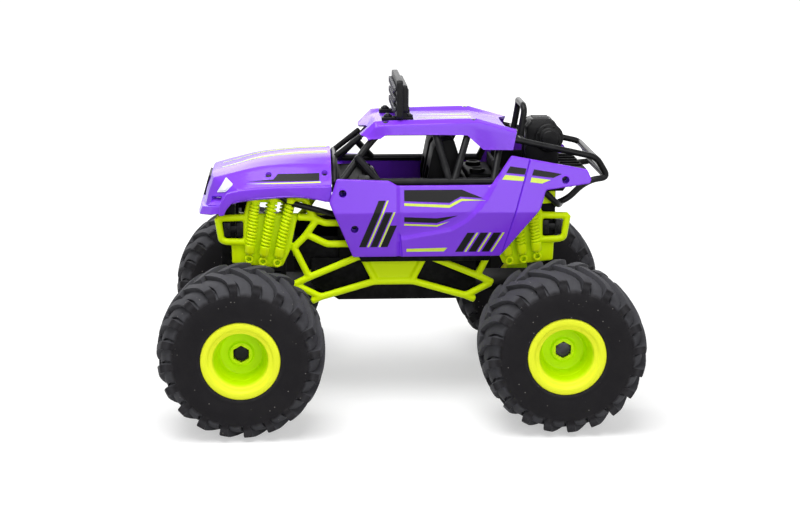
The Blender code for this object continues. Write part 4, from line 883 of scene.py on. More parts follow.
# Each moulded material: its colour or the setting that holds it, roughness, grain as (scale, bump strength,
# bump depth in mm), rubbed edges as (amount, lightening), strength of handling marks, other shader values.
FINISHES = {
    "shell_purple": ("shell", 0.24, (2600, 0.10, 0.010), (0.5, 1.5), 0.35,
                     {"Coat Weight": 0.16, "Coat Roughness": 0.06, "Specular IOR Level": 0.2}),
    "lime_frame": ("frame", 0.36, (1700, 0.22, 0.02), (0.35, 1.3), 0.3, {"Specular IOR Level": 0.12}),
    "lime_wheel": ("wheel", 0.34, (2000, 0.15, 0.015), (0.25, 1.2), 0.25, {"Specular IOR Level": 0.1}),
    "trim_black": ("trim", 0.42, (1900, 0.35, 0.03), (0.35, 2.2), 0.4, {"Specular IOR Level": 0.14}),
    # shaded_black is the trim's black painted darker as shade, for the chassis, cab, seats, rails, deck and
    # screens.
    "shaded_black": ("shade", 0.5, (1900, 0.35, 0.03), (0.3, 2.6), 0.4, {"Specular IOR Level": 0.05}),
    "satin_black": ("trim", 0.30, (2600, 0.15, 0.012), (0.3, 2.2), 0.3, {"Specular IOR Level": 0.13}),
    "tread_rubber": ("rubber", 0.66, (900, 0.4, 0.05), (0.5, 1.9), 0.5, {"Specular IOR Level": 0.08}),
    "sticker_lime": ("sticker", 0.28, (3000, 0.05, 0.005), (0.2, 1.2), 0.3, {}),
    "sticker_black": ("ink", 0.30, (3000, 0.05, 0.005), (0.2, 1.8), 0.25, {"Specular IOR Level": 0.15}),
    "belt_grey": ("webbing", 0.55, (2600, 0.5, 0.05), (0.2, 1.4), 0.2, {}),
    "bright_steel": ((0.62, 0.62, 0.64), 0.34, (2400, 0.1, 0.01), (0.5, 1.3), 0.5, {"Metallic": 1.0}),
    "dark_steel": ((0.20, 0.20, 0.22), 0.38, (2400, 0.15, 0.01), (0.6, 2.0), 0.5, {"Metallic": 0.9}),
    "clear_lens": ((0.93, 0.94, 0.97), 0.12, (2400, 0.04, 0.005), (0.1, 1.0), 0.1,
                   {"Coat Weight": 0.6, "Coat Roughness": 0.03}),
    "grey_reflector": ((0.26, 0.26, 0.28), 0.26, (2400, 0.05, 0.005), (0.2, 1.3), 0.2, {}),
    "green_board": ((0.05, 0.33, 0.16), 0.35, (900, 0.2, 0.02), (0.2, 1.3), 0.1, {}),
    "blue_wrap": ((0.10, 0.28, 0.62), 0.26, (2200, 0.1, 0.01), (0.2, 1.3), 0.2, {}),
    "natural_nylon": ((0.86, 0.86, 0.83), 0.45, (1700, 0.2, 0.02), (0.2, 1.1), 0.2, {}),
}
# Materials that carry painted shade and light near the wheels' planes: its setting, and the distances over
# which it fades. The dish colour is painted shade deep in the wheels, and the tread colour is painted light
# on the tyres' treads.
PAINTED_SHADE_AND_LIGHT = {"lime_wheel": ("dish", 26, 31), "tread_rubber": ("tread", 31.6, 33.6)}
# Specks and film of dust, and how far a colour drifts where it isn't the usual amount.
DUST = {"tread_rubber": (0.4, 0.01)}
DRIFT = {"tread_rubber": 0.3}
USUAL_DRIFT = 0.12
DUST_COLOUR = (0.42, 0.40, 0.37, 1)


def material_of(name):
    """A moulded material, made when it is first asked for."""
    return bpy.data.materials.get(name) or moulded_material(name, *FINISHES[name])


def moulded_material(name, colour, roughness, grain, rub, marks, shader_values):
    """Builds a material of the table from the shared effects."""
    made = bpy.data.materials.new(name)
    made.use_nodes = True
    tree = made.node_tree
    tree.nodes.clear()
    vector = node(tree, "ShaderNodeTexCoord").outputs["Object"]
    base = linear(getattr(colours(), colour) if isinstance(colour, str) else colour)
    drift = DRIFT.get(name, USUAL_DRIFT)
    tint = effect(tree, "Colour Drift", {"Vector": vector, "Colour": base, "Amount": drift})["Colour"]
    # Painted shade and light near the wheel's plane: the darker dish colour inside the wheels, and the paler
    # tread colour on the tyres.
    if name in PAINTED_SHADE_AND_LIGHT:
        setting, low, high = PAINTED_SHADE_AND_LIGHT[name]
        out = maths(tree, "ABSOLUTE", node(tree, "ShaderNodeSeparateXYZ", {0: vector}).outputs["Y"])
        apart = maths(tree, "ABSOLUTE", maths(tree, "SUBTRACT", out, WHEEL_Y))
        second = linear(getattr(colours(), setting))
        tint = mixed(tree, stepped(tree, apart, low * MM, high * MM), second, tint)
    moulding = effect(tree, "Moulding", {"Vector": vector, "Grain": grain[0]})
    wear = effect(tree, "Wear", {"Vector": vector, "Edges": rub[0], "Marks": marks})
    pale = tuple(min(c * rub[1] + 0.02, 1) for c in base[:3]) + (1,)
    tint = mixed(tree, wear["Rubbed"], tint, pale)
    uneven = plus(tree, times(tree, moulding["Speckle"], 0.05), times(tree, wear["Scuffed"], 0.35))
    if name in DUST:
        specks, film = DUST[name]
        dusty = effect(tree, "Dust", {"Vector": vector, "Specks": specks, "Film": film})["Mask"]
        tint = mixed(tree, dusty, tint, DUST_COLOUR)
        uneven = plus(tree, uneven, times(tree, dusty, 0.3))
    gloss = plus(tree, plus(tree, uneven, roughness - 0.03), times(tree, wear["Rubbed"], 0.12))
    bump = node(tree, "ShaderNodeBump", {"Height": moulding["Height"], "Strength": grain[1],
                                         "Distance": grain[2] * MM})
    shader = node(tree, "ShaderNodeBsdfPrincipled", {"Base Color": tint, "Roughness": gloss,
                                                     "Normal": bump.outputs["Normal"], **shader_values})
    output = node(tree, "ShaderNodeOutputMaterial")
    tree.links.new(shader.outputs["BSDF"], output.inputs["Surface"])
    return made


# Stage

# Azimuth, elevation and roll in degrees, and the point looked at and its distance in millimetres.
CAMERA_ANGLES = (-3.476, 13.676, 0.226)
CAMERA_TARGET = (4.805, 0, 103.84)
CAMERA_DISTANCE = 1382.1
FLOOR_HALF = 9
# Place, point lit and size of each lamp in metres. Its power is the setting of the same name.
LAMPS = (("key", (-0.2, -0.4, 1.4), (0, 0, 0.1), (1.2, 1.0)),
         ("fill", (0.4, -1.5, 0.55), (0, 0, 0.12), (0.9, 0.7)),
         ("back", (-0.1, 1.5, 0.85), (0, 0, 0.15), (2.2, 0.8)))


def camera_place():
    """The camera's place and turn, from the photograph's viewing angle."""
    azimuth, elevation, roll = (math.radians(angle) for angle in CAMERA_ANGLES)
    back = Vector((math.sin(azimuth) * math.cos(elevation), -math.cos(azimuth) * math.cos(elevation),
                   math.sin(elevation)))
    right = Vector((math.cos(azimuth), math.sin(azimuth), 0))
    up = back.cross(right)
    side = right * math.cos(roll) + up * math.sin(roll)
    head = up * math.cos(roll) - right * math.sin(roll)
    place = Vector(CAMERA_TARGET) * MM + back * CAMERA_DISTANCE * MM
    turn = Matrix((side, head, back)).transposed().to_4x4()
    return Matrix.Translation(place) @ turn


def seen_white(tree, strength):
    """How far a ray is one that should see plain white: from the camera, in gloss or through glass."""
    path = node(tree, "ShaderNodeLightPath").outputs
    seen = plus(tree, plus(tree, path["Is Camera Ray"], path["Is Glossy Ray"]), path["Is Transmission Ray"])
    return times(tree, seen, strength)


def area_lamp(name, place, target, size, power):
    """A rectangular studio lamp that faces a point."""
    light = bpy.data.lights.new(name, "AREA")
    light.shape = "RECTANGLE"
    light.size, light.size_y = size
    light.energy = power
    item = bpy.data.objects.new(name, light)
    item.location = place
    item.rotation_euler = (Vector(target) - Vector(place)).to_track_quat("-Z", "Y").to_euler()
    bpy.context.scene.collection.objects.link(item)


class TRUCK_OT_stage(bpy.types.Operator):
    """White floor, soft studio lights and the photograph's camera"""

    bl_idname = "truck.stage"
    bl_label = "Stage"

    def execute(self, context):
        scene = context.scene
        settings = scene.truck_stage
        scene.view_settings.view_transform = "Standard"
        self.light_world(scene, settings)
        self.lay_floor()
        for name, place, target, size in LAMPS:
            area_lamp(f"{name}_lamp", place, target, size, getattr(settings, name))
        camera = bpy.data.cameras.new("camera")
        camera.lens = settings.focal
        camera.sensor_fit = "HORIZONTAL"
        camera.sensor_width = 36
        camera.clip_start = 0.05
        item = bpy.data.objects.new("camera", camera)
        item.matrix_world = camera_place()
        scene.collection.objects.link(item)
        scene.camera = item
        return {"FINISHED"}

    def light_world(self, scene, settings):
        """Even light on the truck, and plain white behind it."""
        world = bpy.data.worlds.new("studio")
        world.use_nodes = True
        scene.world = world
        tree = world.node_tree
        tree.nodes.clear()
        even = node(tree, "ShaderNodeBackground", {"Color": WHITE, "Strength": settings.sky})
        white = node(tree, "ShaderNodeBackground", {"Color": WHITE, "Strength": 1.0})
        mix = node(tree, "ShaderNodeMixShader", {0: seen_white(tree, 1.0), 1: even.outputs[0],
                                                 2: white.outputs[0]})
        output = node(tree, "ShaderNodeOutputWorld")
        tree.links.new(mix.outputs[0], output.inputs["Surface"])

    def lay_floor(self):
        """A matt floor that fades to white, and that is clear from below."""
        coat = bpy.data.materials.new("floor")
        coat.use_nodes = True
        tree = coat.node_tree
        tree.nodes.clear()
        vector = node(tree, "ShaderNodeTexCoord").outputs["Object"]
        shade = stepped(tree, noise(tree, vector, 6, 3, 0.5), 0.2, 0.8, 0.02)
        tone = mixed(tree, shade, (0.60, 0.60, 0.60, 1), (0.57, 0.57, 0.57, 1))
        matt = node(tree, "ShaderNodeBsdfDiffuse", {"Color": tone})
        reach = node(tree, "ShaderNodeVectorMath", {0: vector}, operation="LENGTH").outputs["Value"]
        lift = node(tree, "ShaderNodeMapRange", {"Value": reach, "From Min": 0.3, "From Max": 1.6,
                                                 "To Min": 0.48, "To Max": 0.86}).outputs["Result"]
        glow = node(tree, "ShaderNodeEmission", {"Color": WHITE, "Strength": seen_white(tree, lift)})
        both = node(tree, "ShaderNodeAddShader", {0: matt.outputs[0], 1: glow.outputs[0]})
        below = node(tree, "ShaderNodeNewGeometry").outputs["Backfacing"]
        clear = node(tree, "ShaderNodeBsdfTransparent")
        from_above = node(tree, "ShaderNodeMixShader", {0: below, 1: both.outputs[0], 2: clear.outputs[0]})
        output = node(tree, "ShaderNodeOutputMaterial")
        tree.links.new(from_above.outputs[0], output.inputs["Surface"])
        work = bmesh.new()
        bmesh.ops.create_grid(work, x_segments=4, y_segments=4, size=FLOOR_HALF)
        mesh = mesh_of(work, "floor")
        mesh.materials.append(coat)
        item = bpy.data.objects.new("floor", mesh)
        bpy.context.scene.collection.objects.link(item)


# Wheels

# From the bead to the middle of the tread: radius and distance from the wheel's plane, in millimetres.
CARCASS = ((30.8, 33.5), (31.7, 34.1), (33.0, 34.3), (34.2, 34.0), (35.5, 34.3), (44.0, 34.5), (50.2, 34.5),
           (51.0, 34.3), (51.3, 33.8), (51.4, 32.4), (54.0, 28.4), (56.4, 24.6), (58.0, 20.0), (58.8, 13.0),
           (59.0, 5.0), (59.0, 0.0))
# Along a tread bar and along the pad beside it: share of the sweep, then radius and distance from the wheel's
# plane of the top and of the foot.
TREAD_BAR = ((0.00, 50.4, 34.2, 49.4, 32.0), (0.00, 51.6, 34.3, 50.2, 31.5), (0.00, 56.6, 32.8, 53.0, 29.5),
             (0.00, 60.2, 33.5, 55.0, 28.0), (0.01, 60.8, 33.1, 56.0, 27.0), (0.07, 62.0, 30.2, 57.0, 25.5),
             (0.15, 63.0, 27.0, 58.0, 23.5), (0.28, 63.8, 22.5, 59.0, 20.5), (0.44, 64.4, 17.5, 59.5, 16.5),
             (0.60, 64.7, 12.7, 59.8, 12.4), (0.80, 64.9, 7.0, 60.0, 7.0), (1.00, 65.0, 0.5, 60.0, 0.5),
             (1.07, 64.9, -2.4, 60.0, -2.4))
TREAD_PAD = ((0.00, 51.0, 34.0, 49.6, 32.0), (0.00, 51.6, 33.4, 50.4, 31.0), (0.02, 54.6, 30.6, 52.6, 27.5),
             (0.06, 57.2, 27.9, 55.0, 25.6), (0.13, 59.0, 24.9, 56.8, 23.2), (0.27, 60.2, 21.0, 58.0, 19.8),
             (0.44, 60.9, 16.6, 58.6, 15.8), (0.62, 61.2, 11.8, 59.0, 11.6), (0.80, 61.3, 7.0, 59.2, 7.0),
             (0.97, 61.3, 1.6, 59.2, 1.6))
SWEEP = math.radians(16.5)
PAD_MIDDLE = math.radians(-10.2)
PAD_CROWN = 0.45


def tread_piece(rows, width, middle=0.0, crown=0.0):
    """A bar or a pad of the tread, swept from the shoulder towards the middle, its top raised by a crown."""
    sections = []
    for share, top_radius, top_out, foot_radius, foot_out in rows:
        turn = middle + SWEEP * share
        top = Vector((top_out, top_radius)) * MM
        foot = Vector((foot_out, foot_radius)) * MM
        sides = ((foot, 0.54), (top.lerp(foot, 0.15), 0.5), (top, 0.455))
        ring = [(place, -half) for place, half in sides]
        ring.append((top + (top - foot).normalized() * crown, 0))
        ring += [(place, half) for place, half in reversed(sides)]
        section = []
        for (out, radius), half in ring:
            angle = turn + half * width / TYRE_RADIUS
            section.append((radius * math.cos(angle), -out, radius * math.sin(angle)))
        sections.append(section)
    return lofted(sections)


def tread_tree():
    """Both rows of the tread: its piece turned round the axle, and its mirror image half a step on."""
    tree, given, result = geometry_tree("tread rows", (
        ("Count", "NodeSocketInt"), ("Step", "NodeSocketFloat"), ("Material", "NodeSocketMaterial")))
    spots = node(tree, "GeometryNodeMeshLine", {"Count": given.outputs["Count"], "Offset": (0, 0, 0)})
    index = node(tree, "GeometryNodeInputIndex").outputs[0]
    flipped = node(tree, "GeometryNodeTransform", {"Geometry": given.outputs[0], "Scale": (1, -1, 1)})
    outwards = node(tree, "GeometryNodeFlipFaces", {0: flipped.outputs[0]})
    both = node(tree, "GeometryNodeJoinGeometry")
    for shape, shift in ((given.outputs[0], -0.25), (outwards.outputs[0], 0.25)):
        angle = times(tree, maths(tree, "ADD", index, shift), given.outputs["Step"])
        turn = node(tree, "ShaderNodeCombineXYZ", {"Y": angle}).outputs[0]
        row = node(tree, "GeometryNodeInstanceOnPoints", {"Points": spots.outputs[0], "Instance": shape,
                                                          "Rotation": turn})
        tree.links.new(row.outputs[0], both.inputs[0])
    ended(tree, both.outputs[0], given.outputs["Material"], result)
    return tree


def tyre_mesh():
    """A tyre in the wheel's own place: a turned carcass and two rows of tread."""
    count = sizes().lugs
    step = 2 * math.pi / count
    width = sizes().lug_width
    pad = 2 * math.pi * TYRE_RADIUS / count - 1.34 * width
    piece = joined(tread_piece(TREAD_BAR, width), tread_piece(TREAD_PAD, pad, PAD_MIDDLE, PAD_CROWN * MM))
    rows = modified(loose(piece), tread_tree(), {
        "Count": count, "Step": step, "Material": material_of("tread_rubber")})
    inner = [(radius, -out) for radius, out in reversed(CARCASS[:-1])]
    return joined(moved(lathed([*CARCASS, *inner], 144), Z_TO_LEFT), rows)


def hexagon(across_flats):
    """The reach of a hexagon at an angle."""
    def reach(angle):
        return across_flats / 2 / math.cos((angle + math.pi / 6) % (math.pi / 3) - math.pi / 6)
    return reach


# From the back of the barrel round the outer ring into the dish: radius and height, in millimetres.
RIM_FACE = ((30.5, -33.5), (30.5, 32.5), (30.3, 33.1), (29.7, 33.5), (26.2, 33.5), (25.5, 33.35),
            (24.9, 32.7), (24.4, 31.9), (23.8, 31.6), (22.4, 31.6), (21.8, 31.4), (21.35, 30.8), (21.0, 29.5),
            (19.2, 20.5), (18.9, 20.0), (18.5, 19.6), (17.1, 12.6), (16.8, 11.5), (16.2, 10.75), (15.4, 10.5),
            (10.4, 10.5), (9.8, 10.65), (9.4, 11.2), (9.1, 12.7), (8.8, 13.3), (8.2, 13.5), (7.5, 13.5))


HEX_DRIVE = 12


def rim_mesh():
    """A wheel in its own place, with the hexagon of its drive in the dish."""
    profile = [(radius * MM, height * MM) for radius, height in RIM_FACE]
    drive = hexagon(HEX_DRIVE * MM)
    profile += [(drive, 13.3 * MM), (drive, 5.5 * MM), (26.5 * MM, 5.5 * MM), (26.5 * MM, -33.5 * MM)]
    return moved(turned(profile, 120), Z_TO_LEFT)


class TRUCK_OT_wheels(bpy.types.Operator):
    """Lugged tyres and deep-dish wheels"""

    bl_idname = "truck.wheels"
    bl_label = "Wheels"

    def execute(self, context):
        patterns = (("tyre", tyre_mesh(), "tread_rubber", "tyre_rubber", 28),
                    ("rim", rim_mesh(), "lime_wheel", "lime_plastic", 40))
        for kind, pattern, coat, slot, angle in patterns:
            for end, x in ENDS:
                for side, sign in SIDES:
                    place = Matrix.Translation((x, sign * WHEEL_Y, AXLE_Z))
                    if sign > 0:
                        place = place @ ACROSS
                    name = f"{end}_{side}_{kind}"
                    show(f"{name}_finished", moved(pattern, place), coat, name, angle)
        return {"FINISHED"}


# Side frames and dampers

# The rear tower mirrors the front one in the plane at half this X.
TOWER_SHIFT = -7
# Bars of a frame's front half in side view: distance from the front axle, and height.
FRAME_MIDDLE = 121.5
FRAME_BARS = (
    ((-19.3, 91.5), (1, 92)), ((-19.3, 91.5), (-16.6, 73.6), (-12, 72.3), (1, 72)),
    ((3.2, 70), (3.6, 92), (7.6, 107)), ((7.6, 107), (50, 107), (54.5, 97), (59, 88.6)),
    ((45, 92), (56, 91.6), (66, 87), (94, 87)), ((59, 89), (50, 76), (41.3, 67.3)),
    ((51, 78), (68, 69.6), (94, 69.8)), ((41, 67.5), (52.4, 44)), ((41, 36.4), (52.5, 42), (96, 60.2)),
    ((42.5, 36), (62.5, 25.6), (105.6, 38.3), (FRAME_MIDDLE, 38.3)), ((62.5, 25.6), (55.5, 22.6)),
    ((97, 58), (106.4, 39.5)), ((97, 58.4), (FRAME_MIDDLE, 58.4)),
)
BACK_BARS = (((0, 92), (46, 92)), ((36.5, 70), (41.4, 91)))
BAR_OUT, BACK_BAR_OUT = 50.6, 47.6
# The tab at the rear tower in side view, and the X of the ends of the link in the front window.
REAR_TAB = ((110, 113), (127, 111.8), (127.2, 101.8), (112, 100.6))
LINK_ENDS = (-137, -126.8)
# The plate behind the dampers: closed to the top bar on the left, open above the feet on the right.
CLOSED_TOWER = ((-9, 72.5), (-8.6, 54.4), (27.8, 50.2), (32.4, 52.2), (38.4, 65), (44, 92), (2, 92), (0, 73))
OPEN_TOWER = ((-9, 72.5), (-8.6, 54.4), (27.8, 50.2), (32.4, 52.2), (38.4, 65), (37.6, 73), (0, 73))
DAMPER_OUT, DAMPER_RADIUS = 54.8, 4.2
# Each damper's foot and head, from the front axle.
DAMPER_LINES = (((5.1, 58.9), (11.2, 110)), ((16.2, 56.8), (25.7, 110.5)), ((27.8, 55.6), (39.6, 109.5)))


def tower_link():
    """The black link that shows in a tower's front window: two ends with pins, and a bar."""
    parts = [block((-138, -51, 79.6), (-126, -47.4, 85.2), 0.6)]
    for x in LINK_ENDS:
        pin = lathed(((0, 0), (1.5, 0), (1.5, 1), (1.1, 1.4), (0, 1.4)), 16)
        parts.append(block((x - 2.6, -52.2, 76.4), (x + 2.6, -46.4, 88.2), 0.7))
        parts.append(moved(pin, Matrix.Translation(at(x, -52, 82.3)) @ Z_TO_LEFT))
    return joined(*parts)


def mirrored_end(mesh):
    """A front piece's twin on the rear tower."""
    flip = Matrix.Translation((TOWER_SHIFT * MM, 0, 0)) @ Matrix.Diagonal((-1, 1, 1, 1))
    return moved(mesh, flip)


def frame_mesh(tower_outline):
    """A side frame on the left: round bars, and plates behind the dampers and in the middle, in one skin."""
    front = FRONT_X / MM
    middle = front + FRAME_MIDDLE
    outer = [[(front + u, -BAR_OUT, v) for u, v in run] for run in FRAME_BARS]
    behind = [[(front + u, -BACK_BAR_OUT, v) for u, v in run] for run in BACK_BARS]
    tower = slab([(front + u, v) for u, v in tower_outline], "Y", -50.3, -46.2, 0.8)
    half = joined(bars(outer, 2.9, 3), bars(behind, 2.8), tower)
    tab = slab(REAR_TAB, "Y", -50.6, -47, 0.8)
    lower = [(middle - 20, 58), (middle + 20, 58), (middle + 13, 38.5), (middle - 13, 38.5)]
    belly = slab(lower, "Y", -50.8, -46.4, 0.8)
    return melted(joined(half, mirrored_end(half), tab, belly), voxel=0.7 * MM, passes=5)


class TRUCK_OT_side_frames(bpy.types.Operator):
    """Moulded lime side frames with their towers, and the links and screens in their windows"""

    bl_idname = "truck.side_frames"
    bl_label = "Side frames"

    def execute(self, context):
        frames = {"left": frame_mesh(CLOSED_TOWER), "right": frame_mesh(OPEN_TOWER)}
        link = tower_link()
        # Dark screens behind the frame's windows, in the black that is painted darker as shade.
        screen = block((-84, -41.4, 46), (-46, -40.2, 74), 0.4)
        links = joined(link, mirrored_end(link))
        screens = joined(screen, mirrored_end(screen))
        for side, sign in SIDES:
            name = f"{side}_side_frame"
            show(f"{name}_moulded", to_side(frames[side], sign), "lime_frame", name, 80)
            show(f"{side}_tower_links", to_side(links, sign), "satin_black")
            show(f"{side}_screens", to_side(screens, sign), "shaded_black")
        return {"FINISHED"}


def coil_tree():
    """A spring: a spiral given a round wire."""
    tree, given, result = geometry_tree("spring", (
        ("Turns", "NodeSocketFloat"), ("Radius", "NodeSocketFloat"), ("Height", "NodeSocketFloat"),
        ("Wire", "NodeSocketFloat"), ("Material", "NodeSocketMaterial")))
    spiral = node(tree, "GeometryNodeCurveSpiral", {
        "Resolution": 20, "Rotations": given.outputs["Turns"], "Start Radius": given.outputs["Radius"],
        "End Radius": given.outputs["Radius"], "Height": given.outputs["Height"]})
    wire = node(tree, "GeometryNodeCurvePrimitiveCircle", {"Resolution": 9, "Radius": given.outputs["Wire"]})
    made = node(tree, "GeometryNodeCurveToMesh", {
        0: spiral.outputs[0], 1: wire.outputs[0], "Fill Caps": True})
    ended(tree, made.outputs[0], given.outputs["Material"], result)
    return tree


def damper_mesh(length, spring):
    """A moulded coil-over along Z: ring eye, lower body, spring round a core, top cap."""
    wire = sizes().coil_wire
    low, high = 0.235 * length, 0.9 * length
    wide = DAMPER_RADIUS
    profile = ((0, length), (2.2, length), (3.5, length - 0.9), (wide, length - 2), (wide, high + 1),
               (3.8, high + 0.4), (2.3, high), (2.3, low), (3.8, low - 0.2), (4.15, low - 0.7),
               (4.15, 0.115 * length), (3.7, 0.095 * length), (2.3, 0.07 * length), (0, 0.07 * length))
    body = lathed(profile, 32)
    coil = modified(loose(bpy.data.meshes.new("start")), spring, {
        "Turns": sizes().coil_turns, "Radius": wide * MM - wire, "Height": (high - low - 1.6) * MM,
        "Wire": wire, "Material": material_of("lime_frame")})
    coil.transform(Matrix.Translation((0, 0, (low + 0.8) * MM)))
    eye = lathed(((1.9, -2.6), (1.9, 1.7), (2.15, 2.0), (3.0, 2.0), (3.4, 1.6), (3.4, -2.6)), 32)
    eye.transform(Z_TO_LEFT)
    return joined(body, mesh_of(tidied(worked(coil))), eye)


class TRUCK_OT_dampers(bpy.types.Operator):
    """Three coil-over dampers on each tower"""

    bl_idname = "truck.dampers"
    bl_label = "Dampers"

    def execute(self, context):
        spring = coil_tree()
        for number, (low, high) in enumerate(DAMPER_LINES, 1):
            pattern = damper_mesh(math.dist(low, high), spring)
            lean = math.atan2(high[0] - low[0], high[1] - low[1])
            foot = at(low[0] + FRONT_X / MM, -DAMPER_OUT, low[1])
            front = moved(pattern, Matrix.Translation(foot) @ Matrix.Rotation(lean, 4, "Y"))
            for end, shape in (("front", front), ("rear", mirrored_end(front))):
                for side, sign in SIDES:
                    name = f"{end}_{side}_shock_{number}"
                    show(f"{name}_moulded", to_side(shape, sign), "lime_frame", name)
        return {"FINISHED"}


# Hood

# From the cab to the nose's lip: middle, crown, top edge, waist and lower edge of each row.
HOOD = (
    ((-53.5, 0, 139), (-53.5, 22, 137.5), (-53.5, 39, 132.5), (-53.5, 56.5, 119.6), (-53.5, 62, 106.4)),
    ((-80.5, 0, 138), (-80.5, 22, 136.6), (-80.5, 39, 133), (-80.5, 57, 119), (-80.5, 62.5, 111)),
    ((-110, 0, 134.5), (-110, 22, 133.5), (-110, 38.5, 131), (-110, 56.5, 117.8), (-110, 62.5, 109.7)),
    ((-133, 0, 128.2), (-133, 22, 127.6), (-132, 38, 126.2), (-123, 56.5, 116.6), (-123, 62, 108)),
    ((-149.5, 0, 124), (-149.5, 22, 123.6), (-147.5, 37, 122.2), (-130, 56.5, 115.5), (-131.5, 62, 106.3)),
    ((-154, 0, 111), (-154, 22, 111), (-152, 37, 109.5), (-143, 50, 107), (-137.5, 57.5, 105)),
    ((-156.4, 0, 100.2), (-156.4, 22, 100.2), (-154.4, 37, 99.8), (-145.6, 50.2, 102), (-139.4, 57.5, 103)),
    ((-158.8, 0, 99.4), (-158.8, 22, 99.4), (-157, 38, 99), (-147.6, 51.6, 101.2), (-140.6, 58.6, 102.4)),
    ((-160.8, 0, 92.8), (-160.8, 22, 92.8), (-159.4, 38.4, 93), (-150.6, 52, 95.2), (-141.6, 58.6, 96.8)),
)
# Rows at the upper edge of the nose and at the lower end of its headlights.
NOSE_TOP = 4
NOSE_LOW = 5
HOOD_SCREWS = ((-103.4, 46.5), (-58.8, 46.5))
HOOD_SCREW_Z = 124.4
NOSE_POCKET = ((-149.2, 41.5, 108), (-140.6, 50.2, 109.4), (-142.2, 54.6, 104), (-152, 44.6, 101.8))
# In side view: the lens, and the arch's flange that runs from the cab to the nose and down beside it.
HEADLIGHT = ((-137.4, 123), (-131.6, 119), (-137.4, 113), (-144.6, 111.6))
FLANGE = ((-136.6, 113.3), (-132, 115), (-124.4, 116.4), (-113.3, 117.4), (-96.2, 118.3), (-73, 118.6),
          (-54, 118.8), (-54, 106.6), (-58, 106.3), (-72, 109.8), (-81.1, 111.2), (-95.2, 111.1),
          (-113.4, 109.7), (-127.5, 107.7), (-132.5, 105.6), (-136.7, 100.8), (-138.9, 95.8), (-143, 95.8),
          (-142.2, 104))


def nose_pocket():
    """The pocket under the right headlight: a prism for its hole, and the sloping floor behind it."""
    points = [at(*point) for point in NOSE_POCKET]
    out = (points[1] - points[0]).cross(points[3] - points[0]).normalized()
    if out.y < 0:
        out = -out
    hole = lofted([[point + out * height * MM for point in points] for height in (-5, 6)])
    middle = sum(points, Vector()) / len(points)
    wide = [middle.lerp(point, 1.15) for point in points]
    deep = list(zip(wide, (3.4, 3.4, 0.9, 0.9)))
    floor = lofted([[point - out * (depth + back) * MM for point, depth in deep] for back in (1.3, 0)])
    return hole, floor


def hood_mesh():
    """The hood's skin with pockets beside the nose, screw cups and the flanges of the arches."""
    rows = [[at(*point) for point in row] for row in HOOD]
    sharp = (NOSE_TOP, NOSE_LOW, NOSE_LOW + 1, NOSE_LOW + 2)
    work = grid_mesh(skin_of(rows, sharp_rows=sharp, sharp_columns=(2, 3), fading={NOSE_TOP: 2}))
    softened(work, 0.45, angle=11)
    shell = thickened(mesh_of(work))
    hole, floor = nose_pocket()
    wells = [moved(drill(2.5, -3, 20), Matrix.Translation(at(x, sign * y, HOOD_SCREW_Z + 2.8)))
             for x, y in HOOD_SCREWS for sign in (-1, 1)]
    flange = slab(eased(FLANGE, 1), "Y", 55.5, 62.4, 0.8)
    return joined(cut(shell, hole, moved(hole, ACROSS), *wells), on_both_sides(joined(flange, floor)))


def headlight_mesh(shell):
    """A lens on the right of the nose with a raised field inside its rim."""
    middle = Vector(np.mean(HEADLIGHT, axis=0))
    inner = [tuple(middle.lerp(Vector(point), 0.72)) for point in HEADLIGHT]
    layers = []
    for outline, rise in ((HEADLIGHT, 0.5), (inner, 1.0)):
        place = laid_on(shell, "Y", 1, rise)
        layers.append(sheet(eased(outline, 0.8), place, thickness=1.2, spacing=0.8))
    return joined(*layers)


def grille_mesh():
    """A framed grille with cross bars, standing on the front of the nose."""
    top, low = at(*HOOD[NOSE_TOP][0]), at(*HOOD[NOSE_LOW + 1][0])
    along = (low - top).normalized()
    face = Vector((along.z, 0, -along.x))
    if face.x > 0:
        face = -face
    turn = Matrix(((0, along.x, face.x, top.x), (1, 0, 0, 0), (0, along.z, face.z, top.z), (0, 0, 0, 1)))
    outline = eased([(-19, 4), (19, 4), (16.5, 21.5), (-16.5, 21.5)], 2)
    windows = [eased(slanted(u, v, 8.2, 2.6, 0), 0.6) for u in (-13.6, -4.1, 5.4) for v in (6.6, 10.4, 14.2)]
    made = leaf(outline, 0.15, 2, 0.4, windows)
    made.transform(turn)
    return mesh_of(tidied(worked(made)))


class TRUCK_OT_hood(bpy.types.Operator):
    """Hood shell, headlights and grille"""

    bl_idname = "truck.hood"
    bl_label = "Hood and nose"

    def execute(self, context):
        shell = hood_mesh()
        show("hood_shell_moulded", shell, "shell_purple", "hood_shell", 24)
        lens = headlight_mesh(shell)
        for side, sign in SIDES:
            name = f"{side}_headlight"
            show(f"{name}_lens", to_side(lens, -sign), "clear_lens", name)
        show("front_grille_bars", grille_mesh(), "trim_black", "front_grille")
        self.add_stickers(shell)
        return {"FINISHED"}

    def add_stickers(self, shell):
        """Twin tapered stripes on top, and a dart with a pinstripe along each side."""
        above = laid_on(shell, "Z")
        stripes = [((-56, 9), (-56, 14.5), (-142, 12), (-142, 9.6)),
                   ((-56, 16.2), (-56, 17.4), (-120, 14.6), (-120, 14))]
        show("hood_stripes", stickers(both_halves(stripes), above), "sticker_lime")
        dart = [((-63, 122), (-63, 127), (-96, 126.4), (-99.5, 122.8), (-120, 121.2), (-99, 121.4))]
        line = [((-62, 120.6), (-62, 121.5), (-97, 120.6), (-121, 119.6), (-97, 119.8))]
        for side, sign in SIDES:
            flank = laid_on(shell, "Y", sign)
            show(f"{side}_hood_dart", stickers(dart, flank), "sticker_black")
            show(f"{side}_hood_line", stickers(line, flank), "sticker_lime")


# Side panels

